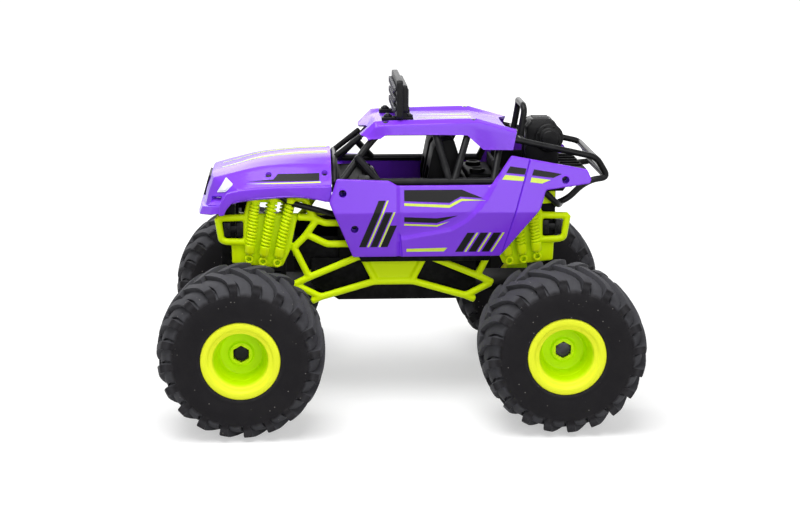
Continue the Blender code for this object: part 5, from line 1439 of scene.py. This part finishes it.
# Where the panel's face lies at belt and sill, the heights of its folds, and how far the waist stands out.
PANEL_OUT = 62.5
WAIST, BELT, SILL, BULGE = 98, 119, 61.6, 4.6
PANEL = ((-49.4, 124.7), (-7.8, 123), (-1, BELT), (73.9, BELT), (88, 139.5), (90, 142), (150.6, 131),
         (154, 123), (152.5, 120), (117.3, 115), (115, 107), (112.8, 100.5), (81.4, SILL), (-36.8, SILL),
         (-55.5, 106.3))
# The door's own field: what lies behind it and below it stands out a little.
DOOR = ((0.8, 126), (78, 126), (74.5, 119.5), (69.5, 111), (61, 100.5), (52.5, 92.3), (41, 85.6), (2.4, 78.5))
# Screw cups: place in side view, and how far the screw's seat is from the middle plane.
WELLS = (((-44.8, 113.5), 45.7), ((-35.4, 85), 54), ((133, 123), 52.8))
WELL_RADIUS = 3.1
# Two lines cut into the face, and how deep and wide they are.
GROOVE = ((106.4, 145), (81.8, 60))
DOOR_GAP = ((0.9, 79), (2.6, 60))
GROOVE_DEPTH, GROOVE_HALF = 1.1, 0.7
# Behind, below and in front of the door the face stands out: how far, and over which distance it rises.
FIELD_RISE, FIELD_SLOPE = 2, 2.6
FRONT_RISE, FRONT_SLOPE = 1.5, 2
# How far the printed bars in front of the door lean for each millimetre of height.
BAR_LEAN = 0.41


def line_distance(x, z, corners):
    """How far a point is from a line through corners."""
    least = math.inf
    for (x1, z1), (x2, z2) in zip(corners, corners[1:]):
        along_x, along_z = x2 - x1, z2 - z1
        share = ((x - x1) * along_x + (z - z1) * along_z) / (along_x**2 + along_z**2)
        share = min(max(share, 0), 1)
        least = min(least, math.hypot(x - x1 - share * along_x, z - z1 - share * along_z))
    return least


def in_door(x, z):
    """Whether a point lies on the door's own field, above its lower and rear edge."""
    along, up = zip(*reversed(DOOR[2:]))
    return x < along[-1] and z > np.interp(x, along, up)


def panel_height(x, z):
    """How far a side panel's outer face stands from the middle plane, in millimetres."""
    share = 1 - (z - WAIST) / (BELT - WAIST) if z > WAIST else (z - SILL) / (WAIST - SILL)
    height = PANEL_OUT + BULGE * share + FRONT_RISE * min(max(-x / FRONT_SLOPE, 0), 1)
    if x > 0 and not in_door(x, z):
        away = line_distance(x, z, DOOR[1:]) / FIELD_SLOPE
        height += FIELD_RISE * min(away, 1) * min(x / FRONT_SLOPE, 1)
    groove = min(line_distance(x, z, GROOVE), line_distance(x, z, DOOR_GAP))
    return height - GROOVE_DEPTH * max(1 - groove / GROOVE_HALF, 0)


def panel_place(x, z, depth):
    """A point of the left panel, at a depth under its outer face."""
    return at(x, depth - panel_height(x, z), z)


def panel_sticker(x, z, depth):
    """A point of a sticker on the left panel, at a depth under the sticker's outer face."""
    return at(x, -panel_height(x, z) - sizes().sticker_rise / MM + depth, z)


def panel_mesh():
    """The left panel: skin with its folds, and cups for the three screws."""
    holes = [ring_of(place, WELL_RADIUS) for place, _ in WELLS]
    cuts = (-GROOVE_HALF, 0, GROOVE_HALF)
    folds = [(((-60, WAIST), (160, WAIST)), (0,)), (((0, 55), (0, 130)), (-0.1, FRONT_SLOPE)),
             (DOOR[1:], (-0.2, 0.2, FIELD_SLOPE)), (GROOVE, cuts), (DOOR_GAP, cuts)]
    skin = sheet(eased(PANEL, 1.6), panel_place, SHELL_THICK, 1.1, holes, edge=0.9, folds=folds)
    cups = []
    for (x, z), seat in WELLS:
        deep = panel_height(x, z) - seat - 0.3
        wall = WELL_RADIUS + 0.9
        cup = lathed(((WELL_RADIUS, 0.25), (wall, 0.7), (wall, deep), (0, deep), (0, deep - 1.5),
                      (WELL_RADIUS, deep - 1.5)), 28)
        cup.transform(Matrix.Translation(at(x, -panel_height(x, z), z)) @ Z_TO_RIGHT)
        cups.append(mesh_of(tidied(worked(cup))))
    return joined(skin, *cups)


class TRUCK_OT_side_panels(bpy.types.Operator):
    """Door panels with their folds, screw cups and stickers, and the rails under them"""

    bl_idname = "truck.side_panels"
    bl_label = "Side panels"

    def execute(self, context):
        panel = panel_mesh()
        rail = cad_copy("left_rocker_rail", 0.9)
        black_marks = stickers(self.black_marks(), panel_sticker)
        lime_marks = stickers(self.lime_marks(), panel_sticker)
        for side, sign in SIDES:
            name = f"{side}_side_panel"
            show(f"{name}_moulded", to_side(panel, sign), "shell_purple", name, 40)
            show(f"{side}_panel_fields", to_side(black_marks, sign), "sticker_black")
            show(f"{side}_panel_lines", to_side(lime_marks, sign), "sticker_lime")
            # The rails carry the black that is painted darker as shade.
            name = f"{side}_rocker_rail"
            show(f"{name}_moulded", to_side(rail, sign), "shaded_black", name)
        return {"FINISHED"}

    def black_marks(self):
        """Two long blades on the door, bars on the front and lower rear, two fields on the rear quarter."""
        upper = ((4, 115.8), (50, 115.8), (67, 109), (49, 110.4), (40, 105.6), (4, 107.2))
        lower = ((4, 94.6), (30, 93.4), (47, 95.6), (30, 89.4), (4, 90.6))
        front = [slanted(x, 70, 5.6, height, height * BAR_LEAN)
                 for x, height in ((-32, 38), (-23, 29), (-14.8, 18))]
        rear = [slanted(x, 65.5, 6.2, 16, 9.5) for x in (45, 55.5, 66)]
        quarter = [((88.5, 134), (101.6, 132.2), (100.4, 127.4), (85.4, 129)),
                   ((107.6, 131.6), (130, 127.8), (123, 124.8), (106, 126.8))]
        return [upper, lower] + front + rear + quarter

    def lime_marks(self):
        """Pinstripes along the dark blades and between the bars, and wedges on the rear quarter."""
        under_upper = ((4, 105.6), (39.8, 104), (49.4, 108.8), (69, 107.4), (50, 107), (40.2, 101.8),
                       (4, 103.6))
        under_lower = ((4, 89), (30, 87.8), (40, 90.6), (30.4, 86.4), (4, 87.6))
        sill = ((6, 66), (36, 66), (38.6, 69), (6, 68.4))
        front = [slanted(x, 70, 1.4, height, height * BAR_LEAN) for x, height in ((-25.4, 38), (-16.4, 29))]
        rear = [slanted(x, 65.5, 1.5, 16, 9.5) for x in (52.4, 62.9, 73.4)]
        quarter = [((84.6, 127.4), (100, 125.8), (99, 122.4), (82, 123.8)),
                   ((105.6, 125.2), (121, 123.2), (114, 120.4), (104.6, 121.6))]
        return [under_upper, under_lower, sill] + front + rear + quarter


# Roof and tubes

# How far the cage's belt rail and its roof rail are from the middle plane.
CAGE_OUT = 57
CAGE_TOP = 36.2
# From the windscreen to the rear edge: points of each row from the middle to the lower edge.
ROOF = (
    ((-23, 0, 157.5), (-30, 23, 155), (-29.5, 34.2, 155.8), (-25.4, 40, 154.8), (-24, 42, 153.2)),
    ((-17, 0, 164), (-19, 24, 163.7), (-18.6, 36, 166.7), (-17.8, 41, 162.8), (-13.8, 42.3, 153.4)),
    ((-11, 0, 165.2), (-11, 28.5, 165.2), (-11, 36, 167.4), (-11, 41.4, 163.8), (-9.5, 42.5, 156.6)),
    ((30, 0, 165.4), (30, 28.5, 165.4), (30, 36, 168.4), (30, 41.6, 165.2), (30, 42.7, 156.6)),
    ((56, 0, 165.6), (56, 28.5, 165.6), (56, 36, 168.9), (56, 41.6, 166.3), (56, 42.7, 156)),
    ((64, 0, 165.6), (64, 28.5, 165.6), (64, 36, 168.9), (66, 41.6, 166.3), (69, 43, 144.3)),
    ((88, 0, 160.6), (88.8, 26, 160.2), (96.2, 36.5, 159.8), (95.8, 41.6, 157.8), (93, 43.3, 144)),
)
ROOF_SCREWS = ((-9.5, 165), (61.3, 166.6))


def roof_mesh():
    """The roof's skin with its two fins, and wells for the screws."""
    rows = [[at(*point) for point in row] for row in ROOF]
    work = grid_mesh(skin_of(rows, 5, 4, sharp_rows=(1, 2, 4, 5), sharp_columns=(1, 2, 3)))
    softened(work, 0.6, angle=9)
    wells = [moved(drill(2.7, -2.2, 9), Matrix.Translation(at(x, sign * CAGE_TOP, z + 2.2)))
             for x, z in ROOF_SCREWS for sign in (-1, 1)]
    return cut(thickened(mesh_of(work)), *wells)


class TRUCK_OT_roof(bpy.types.Operator):
    """Roof panel and its stripes"""

    bl_idname = "truck.roof"
    bl_label = "Roof"

    def execute(self, context):
        shell = roof_mesh()
        show("roof_panel_moulded", shell, "shell_purple", "roof_panel", 24)
        stripes = [((18, 6), (62, 6), (62, 10), (18, 7.2)), ((24, 12.5), (62, 13.5), (62, 15), (24, 13.4))]
        show("roof_stripes", stickers(both_halves(stripes), laid_on(shell, "Z")), "sticker_lime")
        return {"FINISHED"}


def cage_runs():
    """Left cage side: belt rail, windscreen pillar, roof rail and the struts between them."""
    low, top, belt, roof = -CAGE_OUT, -CAGE_TOP, 121.3, 158
    return (
        ((-47, low, belt), (78, low, belt)),
        ((-46, low, belt), (-24.5, top - 0.8, 146.5), (-14, top, roof), (80, top, roof), (91.5, top, 152.6)),
        ((30.4, top, roof), (40.7, low, belt)),
        ((57.5, top, roof), (44.3, low, belt)),
        ((-33, 0.4 * low + 0.6 * top - 4, 140.5), (-16, low, belt)),
        ((76, low, belt), (82, top - 1, 141), (84, top, roof)),
    )


def cowl_runs():
    """The arch behind the hood, two inner pillars and the stays that run forward under the hood."""
    x, stay = -50.5, 55.6
    half = ((20, 135), (38, 130), (52.2, 119.6))
    runs = [[(x, -y, z) for y, z in reversed(half)] + [(x, y, z) for y, z in half]]
    for sign in (-1, 1):
        runs.append([(x, sign * 18, 134.5), (-29, sign * 18, 151.5)])
        line = ((x, 40, 128), (x + 2, 50, 93), (-64.6, stay, 98.8), (-85.8, stay, 104.4), (-97, stay, 111.6))
        runs.append([(u, sign * out, z) for u, out, z in line])
    return runs


def rack_runs():
    """The rack behind the roof, its roll hoop and the lower loop that returns to the chassis."""
    y, inner, hoop, axle = 40, 37.5, 101, REAR_X / MM
    half = ((hoop + 3, 16, 176.5), (hoop + 3.5, 20, 172), (hoop, 20, 150.6))
    runs = [
        ((hoop, -y, 150.6), (hoop, y, 150.6)),
        ((axle + 35.7, -y, 136.4), (axle + 35.7, y, 136.4)),
        ((axle + 44.6, -inner, 121.4), (axle + 44.6, inner, 121.4)),
        [(x, -side, z) for x, side, z in reversed(half)] + list(half),
    ]
    for sign in (-1, 1):
        upper = [(hoop - 6.2, y, 151.9), (axle + 36.4, y, 137.3), (axle + 46.9, inner, 120.3)]
        lower = [(axle + 33.4, y, 118.8), (axle + 24.5, y, 114), (axle + 14.4, y, 103.8),
                 (axle + 3.3, y, 98.8), (axle - 9, y, 94)]
        stay = [(axle - 8, 54.6, 112.6), (axle + 2.6, 54.6, 102.2), (axle + 6, 46, 99.6),
                (axle + 8.4, y, 101)]
        runs.append([(x, sign * out, z) for x, out, z in upper + lower])
        runs.append([(x, sign * out, z) for x, out, z in stay])
    return runs


class TRUCK_OT_tubes(bpy.types.Operator):
    """Cage sides, the arch behind the hood and the rear rack, bent from round bar"""

    bl_idname = "truck.tubes"
    bl_label = "Cage and rack"

    def execute(self, context):
        left = bars(cage_runs(), 2.9)
        for side, sign in SIDES:
            name = f"{side}_cage"
            show(f"{name}_bars", to_side(left, sign), "satin_black", name, 50)
        show("cowl_bars", bars(cowl_runs(), 2.4), "satin_black", "cowl_frame", 50)
        show("rack_bars", bars(rack_runs(), 2.6), "satin_black", "rear_rack", 50)
        return {"FINISHED"}


# Roof lamp

# Half the lamp's width, its lower and upper edge, and the underside of its feet.
LAMP_HALF, LAMP_LOW, LAMP_TOP, LAMP_FOOT = 39, 168.4, 199.7, 165.2
LAMP_FOOT_Y = 23
LAMP_SCREWS = (-7, 10)
# Turned profiles of one reflector of the lamp, of the dome in it, and of the boss under a screw.
LAMP_CUP = ((0, 0), (2.55, 0), (2.7, 0.3), (2.7, 2.2), (2.5, 2.5), (2.2, 2.5), (1.5, 0.9), (0, 0.9))
LAMP_DOME = ((0, 0.6), (1.65, 0.6), (1.6, 1.2), (1.3, 1.75), (0.8, 2.1), (0, 2.25))
LAMP_BOSS = ((0, -1), (3.4, -1), (3.4, 1.4), (2.9, 1.8), (0, 1.8))


class TRUCK_OT_roof_lamp(bpy.types.Operator):
    """Roof lamp: framed housing with fins, rows of small lamps, two bolted feet"""

    bl_idname = "truck.roof_lamp"
    bl_label = "Roof lamp"

    def execute(self, context):
        rows, columns = sizes().led_rows, sizes().led_columns
        wide, high = 2 * LAMP_HALF - 8, 24
        spots = []
        for row in range(rows):
            for column in range(columns):
                y = (column - (columns - 1) / 2) * wide / columns
                z = (LAMP_LOW + LAMP_TOP) / 2 + (row - (rows - 1) / 2) * high / rows
                spots.append((at(-0.8, y, z), (-1, 0, 0)))
        domes = copies(lathed(LAMP_DOME, 12), spots, "trim_black")
        cups = copies(lathed(LAMP_CUP, 14), spots, "grey_reflector")
        housing = joined(self.housing(), domes)
        show("roof_lamp_housing", housing, "trim_black", "light_bar_housing")
        show("roof_lamp_lenses", cups, "grey_reflector", "light_bar_lens", 60)
        return {"FINISHED"}

    def housing(self):
        """The lamp's frame, floor and back, the fins behind it and the feet with their bosses."""
        bezel = slab(self.outline(0, 4), "X", -0.6, 4.4, 1.1, holes=[self.outline(3, 2)], steps=3)
        floor = slab(self.outline(2, 3), "X", -0.4, 4, 0.4)
        back = slab(self.outline(4.5, 3), "X", 3, 8.4, 1.2)
        low, top = LAMP_LOW + 8, LAMP_TOP - 8
        fin = slab([(-0.55, low), (0.55, low), (0.55, top), (-0.55, top)], "X", 7, 9.4, 0.3)
        fins = copies(fin, sideways([(i - 8) * 3.8 for i in range(17)]), "trim_black")
        rise = LAMP_FOOT + 3.2
        side_view = eased([(-12, LAMP_FOOT), (13.6, LAMP_FOOT), (13.6, rise), (8.6, rise + 0.4), (8.2, 181),
                           (3.4, 181), (0, rise + 0.4), (-12, rise)], 0.8)
        places = (-LAMP_FOOT_Y, LAMP_FOOT_Y)
        feet = [slab(side_view, "Y", y - 4, y + 4, 0.5) for y in places]
        spots = [(at(x, y, rise), UP) for x in LAMP_SCREWS for y in places]
        bosses = copies(lathed(LAMP_BOSS, 24), spots, "trim_black")
        return joined(bezel, floor, back, fins, *feet, bosses)

    def outline(self, inwards, radius):
        """The lamp's front view, drawn in by a distance."""
        half, low, top = LAMP_HALF - inwards, LAMP_LOW + inwards, LAMP_TOP - inwards
        return eased([(-half, low), (half, low), (half, top), (-half, top)], radius)


# Cab

SEAT_Y = 22.5
# Turned profiles: a gauge's ring, the lever's knob, a filler cap and the steering wheel's hub.
GAUGE = ((0, 0), (4.4, 0), (4.4, 1.4), (3.8, 1.8), (3.4, 1.2), (3.2, 0.5), (0, 0.5))
KNOB = ((0, 0), (1.4, 0), (2.5, 1.4), (2.5, 3), (1.4, 4.4), (0, 4.6))
FILLER_CAP = ((0, 0), (6.4, 0), (6.4, 2.2), (5.8, 2.8), (4.2, 2.8), (3.8, 2.2), (0, 2.2))
WHEEL_HUB = ((0, -11.5), (2.2, -11.5), (2.2, -2), (4, -1.4), (4, 0.8), (3.2, 1.4), (0, 1.4))


def belt_mesh(y):
    """Moulded belts of a seat: two over the shoulders, one across the lap, with a buckle."""
    drop = [(31.5, 140), (28.9, 127), (26.9, 98), (23.2, 92.2), (6, 90.8)]
    straps = []
    for shift in (-6, 6):
        face = [(u - 0.9, v + 0.3) for u, v in drop]
        straps.append(slab(drop + face[::-1], "Y", y + shift - 1.9, y + shift + 1.9))
    lap = slab([(21.6, 91.6), (14, 90.6), (13.6, 91.8), (21, 92.8)], "Y", y - 10.3, y + 10.3)
    buckle = block((14.2, y - 3, 91), (20.8, y + 3, 94), 0.6)
    return joined(*straps, lap, buckle)


class TRUCK_OT_cab(bpy.types.Operator):
    """Cabin moulding, bucket seats with belts, and the steering wheel"""

    bl_idname = "truck.cab"
    bl_label = "Cab"

    def execute(self, context):
        # The cabin and the seats carry the black that is painted darker as shade.
        tub = [cad_copy("cockpit_tub", 0.6), self.dashboard(), self.rear_shelf()]
        show("cockpit_moulded", joined(*tub), "shaded_black", "cockpit_tub")
        for side, sign in SIDES:
            name = f"{side}_seat"
            y = sign * SEAT_Y
            ribs = [block((27.2, y - 9.6, z), (29.4, y + 9.6, z + 4.6), 0.9) for z in (98, 104, 110, 116)]
            seat = joined(cad_copy(name, 1.5, 3), *ribs)
            show(f"{name}_moulded", seat, "shaded_black", name)
            show(f"{side}_belts", belt_mesh(y), "belt_grey")
        wheel = self.steering_wheel()
        show("steering_wheel_moulded", wheel, "satin_black", "steering_wheel", 50)
        return {"FINISHED"}

    def dashboard(self):
        """Gauge rings and a hood over them, and the lever between the seats."""
        way = Vector((1, 0, 0.12)).normalized()
        spots = [(at(-25.6, y, 108.6), way) for y in (-28, -17, 12, 24)]
        gauges = copies(lathed(GAUGE, 24), spots, "trim_black")
        peak = block((-31, -34, 114.6), (-20.5, -10, 118.4), 1.2)
        lever = bars([((-4, 0, 90), (-7, 0, 104))], 1.3)
        knob = lathed(KNOB, 18)
        knob.transform(Matrix.Translation(at(-7, 0, 103)))
        tunnel = block((-26, -4.5, 86), (22, 4.5, 91), 1.5)
        return joined(gauges, peak, lever, knob, tunnel)

    def rear_shelf(self):
        """The moulded tank behind the seats, with two filler caps."""
        tank = block((55, -34, 66), (80, 34, 117), 2.5)
        step = block((58, -30, 115), (80, 30, 122), 2)
        caps = copies(lathed(FILLER_CAP, 28), [(at(67, y, 121.8), UP) for y in (-17, 17)], "trim_black")
        return joined(tank, step, caps)

    def steering_wheel(self):
        """A round rim with three spokes and a hub, tilted towards the driver."""
        turns = [2 * math.pi * i / 12 for i in range(12)]
        ring = lathed([(13.5 + 1.6 * math.cos(turn), 1.6 * math.sin(turn)) for turn in turns], 48)
        spoke = leaf([(3, -1.7), (13, -1.2), (13, 1.2), (3, 1.7)], -0.9, 0.7, 0.3)
        spokes = [moved(spoke, Matrix.Rotation(math.radians(angle), 4, "Z")) for angle in (90, 210, 330)]
        made = joined(ring, lathed(WHEEL_HUB, 24), *spokes)
        made.transform(Matrix.Translation(at(-14, -22, 114.5)) @ Matrix.Rotation(math.radians(62), 4, "Y"))
        return made


# Engine

# The middle of the drum, and the circle of bolts on its faces.
DRUM = (126, 0, 149.2)
BOLT_CIRCLE, BOLT_OUT, BOLTS = 10.1, 17.1, 8


class TRUCK_OT_engine(bpy.types.Operator):
    """Dummy engine with its drum, bolts, cooling ribs and intake, on the rear deck"""

    bl_idname = "truck.engine"
    bl_label = "Engine"

    def execute(self, context):
        # The deck carries the black that is painted darker as shade.
        show("rear_deck_moulded", self.deck(), "shaded_black", "rear_deck")
        engine = joined(*self.block_parts(), *self.drum_parts(), *self.intake_parts())
        show("engine_moulded", engine, "satin_black", "engine_block")
        return {"FINISHED"}

    def deck(self):
        """The engine's tray, with rear corners that rise under the panels and a ribbed tail."""
        corner = slab([(122, 96), (160, 96), (160, 115.4), (135, 115.4)], "Y", -60, 60)
        half = ((37, 127.6), (37, 117), (34.4, 117), (34.4, 124.4))
        channel = [(-y, z) for y, z in half] + list(reversed(half))
        tail = slab(channel, "X", 126, 154, 0.6)
        ribs = [block((136, y - 0.8, 127), (152.4, y + 0.8, 129), 0.5) for y in (-24, -12, 0, 12, 24)]
        return joined(cut(cad_copy("rear_deck", 0.6), corner), tail, *ribs)

    def block_parts(self):
        """The core, which stands on the deck, and the cooling ribs round it."""
        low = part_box("engine_block")[0][2] / MM - AXLE_Z / MM
        side_view = [(108, low), (134, low), (134, 152), (133, 157.5), (130, 162.4), (112, 162.4), (108, 158)]
        core = slab(eased(side_view, 1.2), "Y", -14.6, 14.6, 1)
        outline = [(107.4, 118), (134.6, 118), (134.6, 152.4), (133.5, 158), (130.3, 163), (111.6, 163),
                   (107.4, 158.4)]
        rib = slab(eased(outline, 1), "Y", -0.7, 0.7, 0.3)
        return core, copies(rib, sideways((-13, -9.5, -6, 6, 9.5, 13)), "satin_black")

    def drum_parts(self):
        """A stepped drum across the engine, with a ring of bolts on each side."""
        half = ((0, 22), (6.2, 22), (6.9, 21.4), (6.9, 20.2), (8.4, 20), (9, 19.4), (9, 17.4), (11.2, 17.2),
                (11.9, 16.5), (11.9, 12))
        profile = [(radius, -out) for radius, out in half] + list(reversed(half))
        drum = lathed(profile, 48)
        drum.transform(Matrix.Translation(at(*DRUM)) @ Z_TO_LEFT)
        bolt = lathed(((0, 0), (0.9, 0), (0.9, 0.6), (0.5, 0.9), (0, 0.9)), 10)
        spots = []
        for sign in (-1, 1):
            for i in range(BOLTS):
                angle = 2 * math.pi * (i + 0.5) / BOLTS
                x = DRUM[0] + BOLT_CIRCLE * math.cos(angle)
                z = DRUM[2] + BOLT_CIRCLE * math.sin(angle)
                spots.append((at(x, sign * BOLT_OUT, z), (0, sign, 0)))
        return drum, copies(bolt, spots, "satin_black")

    def intake_parts(self):
        """The intake on top of the engine, with slats along it."""
        side_view = [(110, 152), (131.4, 152), (130.6, 161.4), (128, 164.2), (112.6, 164.2), (110, 161.4)]
        body = slab(eased(side_view, 1), "Y", -11, 11, 0.9)
        slat = slab([(113.6, 163.6), (127, 163.6), (127, 164.9), (113.6, 164.9)], "Y", -0.6, 0.6, 0.25)
        return body, copies(slat, sideways([(i - 3) * 2.3 for i in range(7)]), "satin_black")


# Chassis

# For each CAD node: its finish, its slot and the width of its rounded edges.
RUNNING_GEAR = {
    # chassis_tub and battery_door carry the black that is painted darker as shade.
    "chassis_tub": ("shaded_black", "black_plastic", 0.6),
    "battery_door": ("shaded_black", "black_plastic", 0.5),
    "battery_pack": ("blue_wrap", "battery_wrap", 0.3),
    "control_board": ("green_board", "circuit_board", 0.15),
    "power_switch": ("satin_black", "black_plastic", 0.3),
    "front_axle_beam": ("trim_black", "black_plastic", 0.5),
    "left_knuckle": ("trim_black", "black_plastic", 0.35),
    "right_knuckle": ("trim_black", "black_plastic", 0.35),
    "tie_rod": ("trim_black", "black_plastic", 0.3),
    "steering_servo": ("trim_black", "black_plastic", 0.4),
    "servo_horn": ("natural_nylon", "white_nylon", 0.25),
    "rear_gearbox_case": ("trim_black", "black_plastic", 0.6),
    "rear_gearbox_cover": ("trim_black", "black_plastic", 0.6),
    "drive_motor": ("bright_steel", "steel", 0.4),
    "motor_pinion": ("natural_nylon", "white_nylon", 0.08),
    "drive_gear": ("natural_nylon", "white_nylon", 0.08),
    "rear_axle_shaft": ("dark_steel", "steel", 0.3),
}


class TRUCK_OT_chassis(bpy.types.Operator):
    """Chassis, steering and drive: the CAD shapes with their edges rounded"""

    bl_idname = "truck.chassis"
    bl_label = "Chassis and running gear"

    def execute(self, context):
        for name, (coat, slot, width) in RUNNING_GEAR.items():
            show(f"{name}_finished", cad_copy(name, width), coat, name)
        return {"FINISHED"}


# Screws

def screw_mesh(radius):
    """A pan head with a cross recess, facing along Z."""
    profile = ((0, 0), (1, 0), (1, 0.25), (0.85, 0.5), (0.5, 0.62), (0, 0.66))
    head = turned([(reach * radius, height * radius) for reach, height in profile], 20)
    slot = Matrix.Diagonal((radius * 1.1, radius * 0.26, radius * 0.8, 1))
    for angle in (0, 90):
        work = bmesh.new()
        bmesh.ops.create_cube(work, size=1)
        turn = Matrix.Rotation(math.radians(angle), 4, "Z") @ Matrix.Translation((0, 0, radius * 0.75)) @ slot
        bmesh.ops.transform(work, matrix=turn, verts=work.verts)
        head = cut(head, mesh_of(work))
    return head


class TRUCK_OT_screws(bpy.types.Operator):
    """Screws in the cups of the shell and on the lamp's feet"""

    bl_idname = "truck.screws"
    bl_label = "Screws"

    def execute(self, context):
        spots = []
        for sign in (-1, 1):
            for (x, z), seat in WELLS:
                spots.append((at(x, sign * (seat + 1.8), z), (0, sign, 0)))
            for x, y in HOOD_SCREWS:
                spots.append((at(x, sign * y, HOOD_SCREW_Z), UP))
            for x, z in ROOF_SCREWS:
                spots.append((at(x, sign * CAGE_TOP, z + 0.2), UP))
            for x in LAMP_SCREWS:
                spots.append((at(x, sign * LAMP_FOOT_Y, LAMP_FOOT + 4.8), UP))
        show("body_screws", copies(screw_mesh(sizes().screw_radius), spots, "dark_steel"), "dark_steel")
        return {"FINISHED"}


class TRUCK_PT_pieces(bpy.types.Panel):
    """Lists the truck's pieces and their settings"""

    bl_idname = "TRUCK_PT_pieces"
    bl_label = "Toy Monster Truck"
    bl_space_type = "VIEW_3D"
    bl_region_type = "UI"
    bl_category = "Truck"

    def draw(self, context):
        for operator in OPERATORS:
            self.layout.operator(operator.bl_idname)
        for settings in (context.scene.truck_colours, context.scene.truck_sizes, context.scene.truck_stage):
            column = self.layout.column()
            for name in settings.bl_rna.properties.keys():
                if name not in ("rna_type", "name"):
                    column.prop(settings, name)


OPERATORS = (TRUCK_OT_stage, TRUCK_OT_wheels, TRUCK_OT_side_frames, TRUCK_OT_dampers, TRUCK_OT_hood,
             TRUCK_OT_side_panels, TRUCK_OT_roof, TRUCK_OT_tubes, TRUCK_OT_roof_lamp, TRUCK_OT_cab,
             TRUCK_OT_engine, TRUCK_OT_chassis, TRUCK_OT_screws)
SETTINGS = (("truck_colours", TruckColours), ("truck_sizes", TruckSizes), ("truck_stage", TruckStage))


def register():
    """Adds the settings, the operators and the panel to Blender."""
    for name, group in SETTINGS:
        bpy.utils.register_class(group)
        setattr(bpy.types.Scene, name, PointerProperty(type=group))
    for operator in OPERATORS:
        bpy.utils.register_class(operator)
    bpy.utils.register_class(TRUCK_PT_pieces)


def unregister():
    """Takes them out again."""
    bpy.utils.unregister_class(TRUCK_PT_pieces)
    for operator in reversed(OPERATORS):
        bpy.utils.unregister_class(operator)
    for name, group in reversed(SETTINGS):
        delattr(bpy.types.Scene, name)
        bpy.utils.unregister_class(group)


def main():
    """Builds every group of pieces."""
    register()
    for operator in OPERATORS:
        group, name = operator.bl_idname.split(".")
        getattr(getattr(bpy.ops, group), name)()


if __name__ == "__main__":
    main()
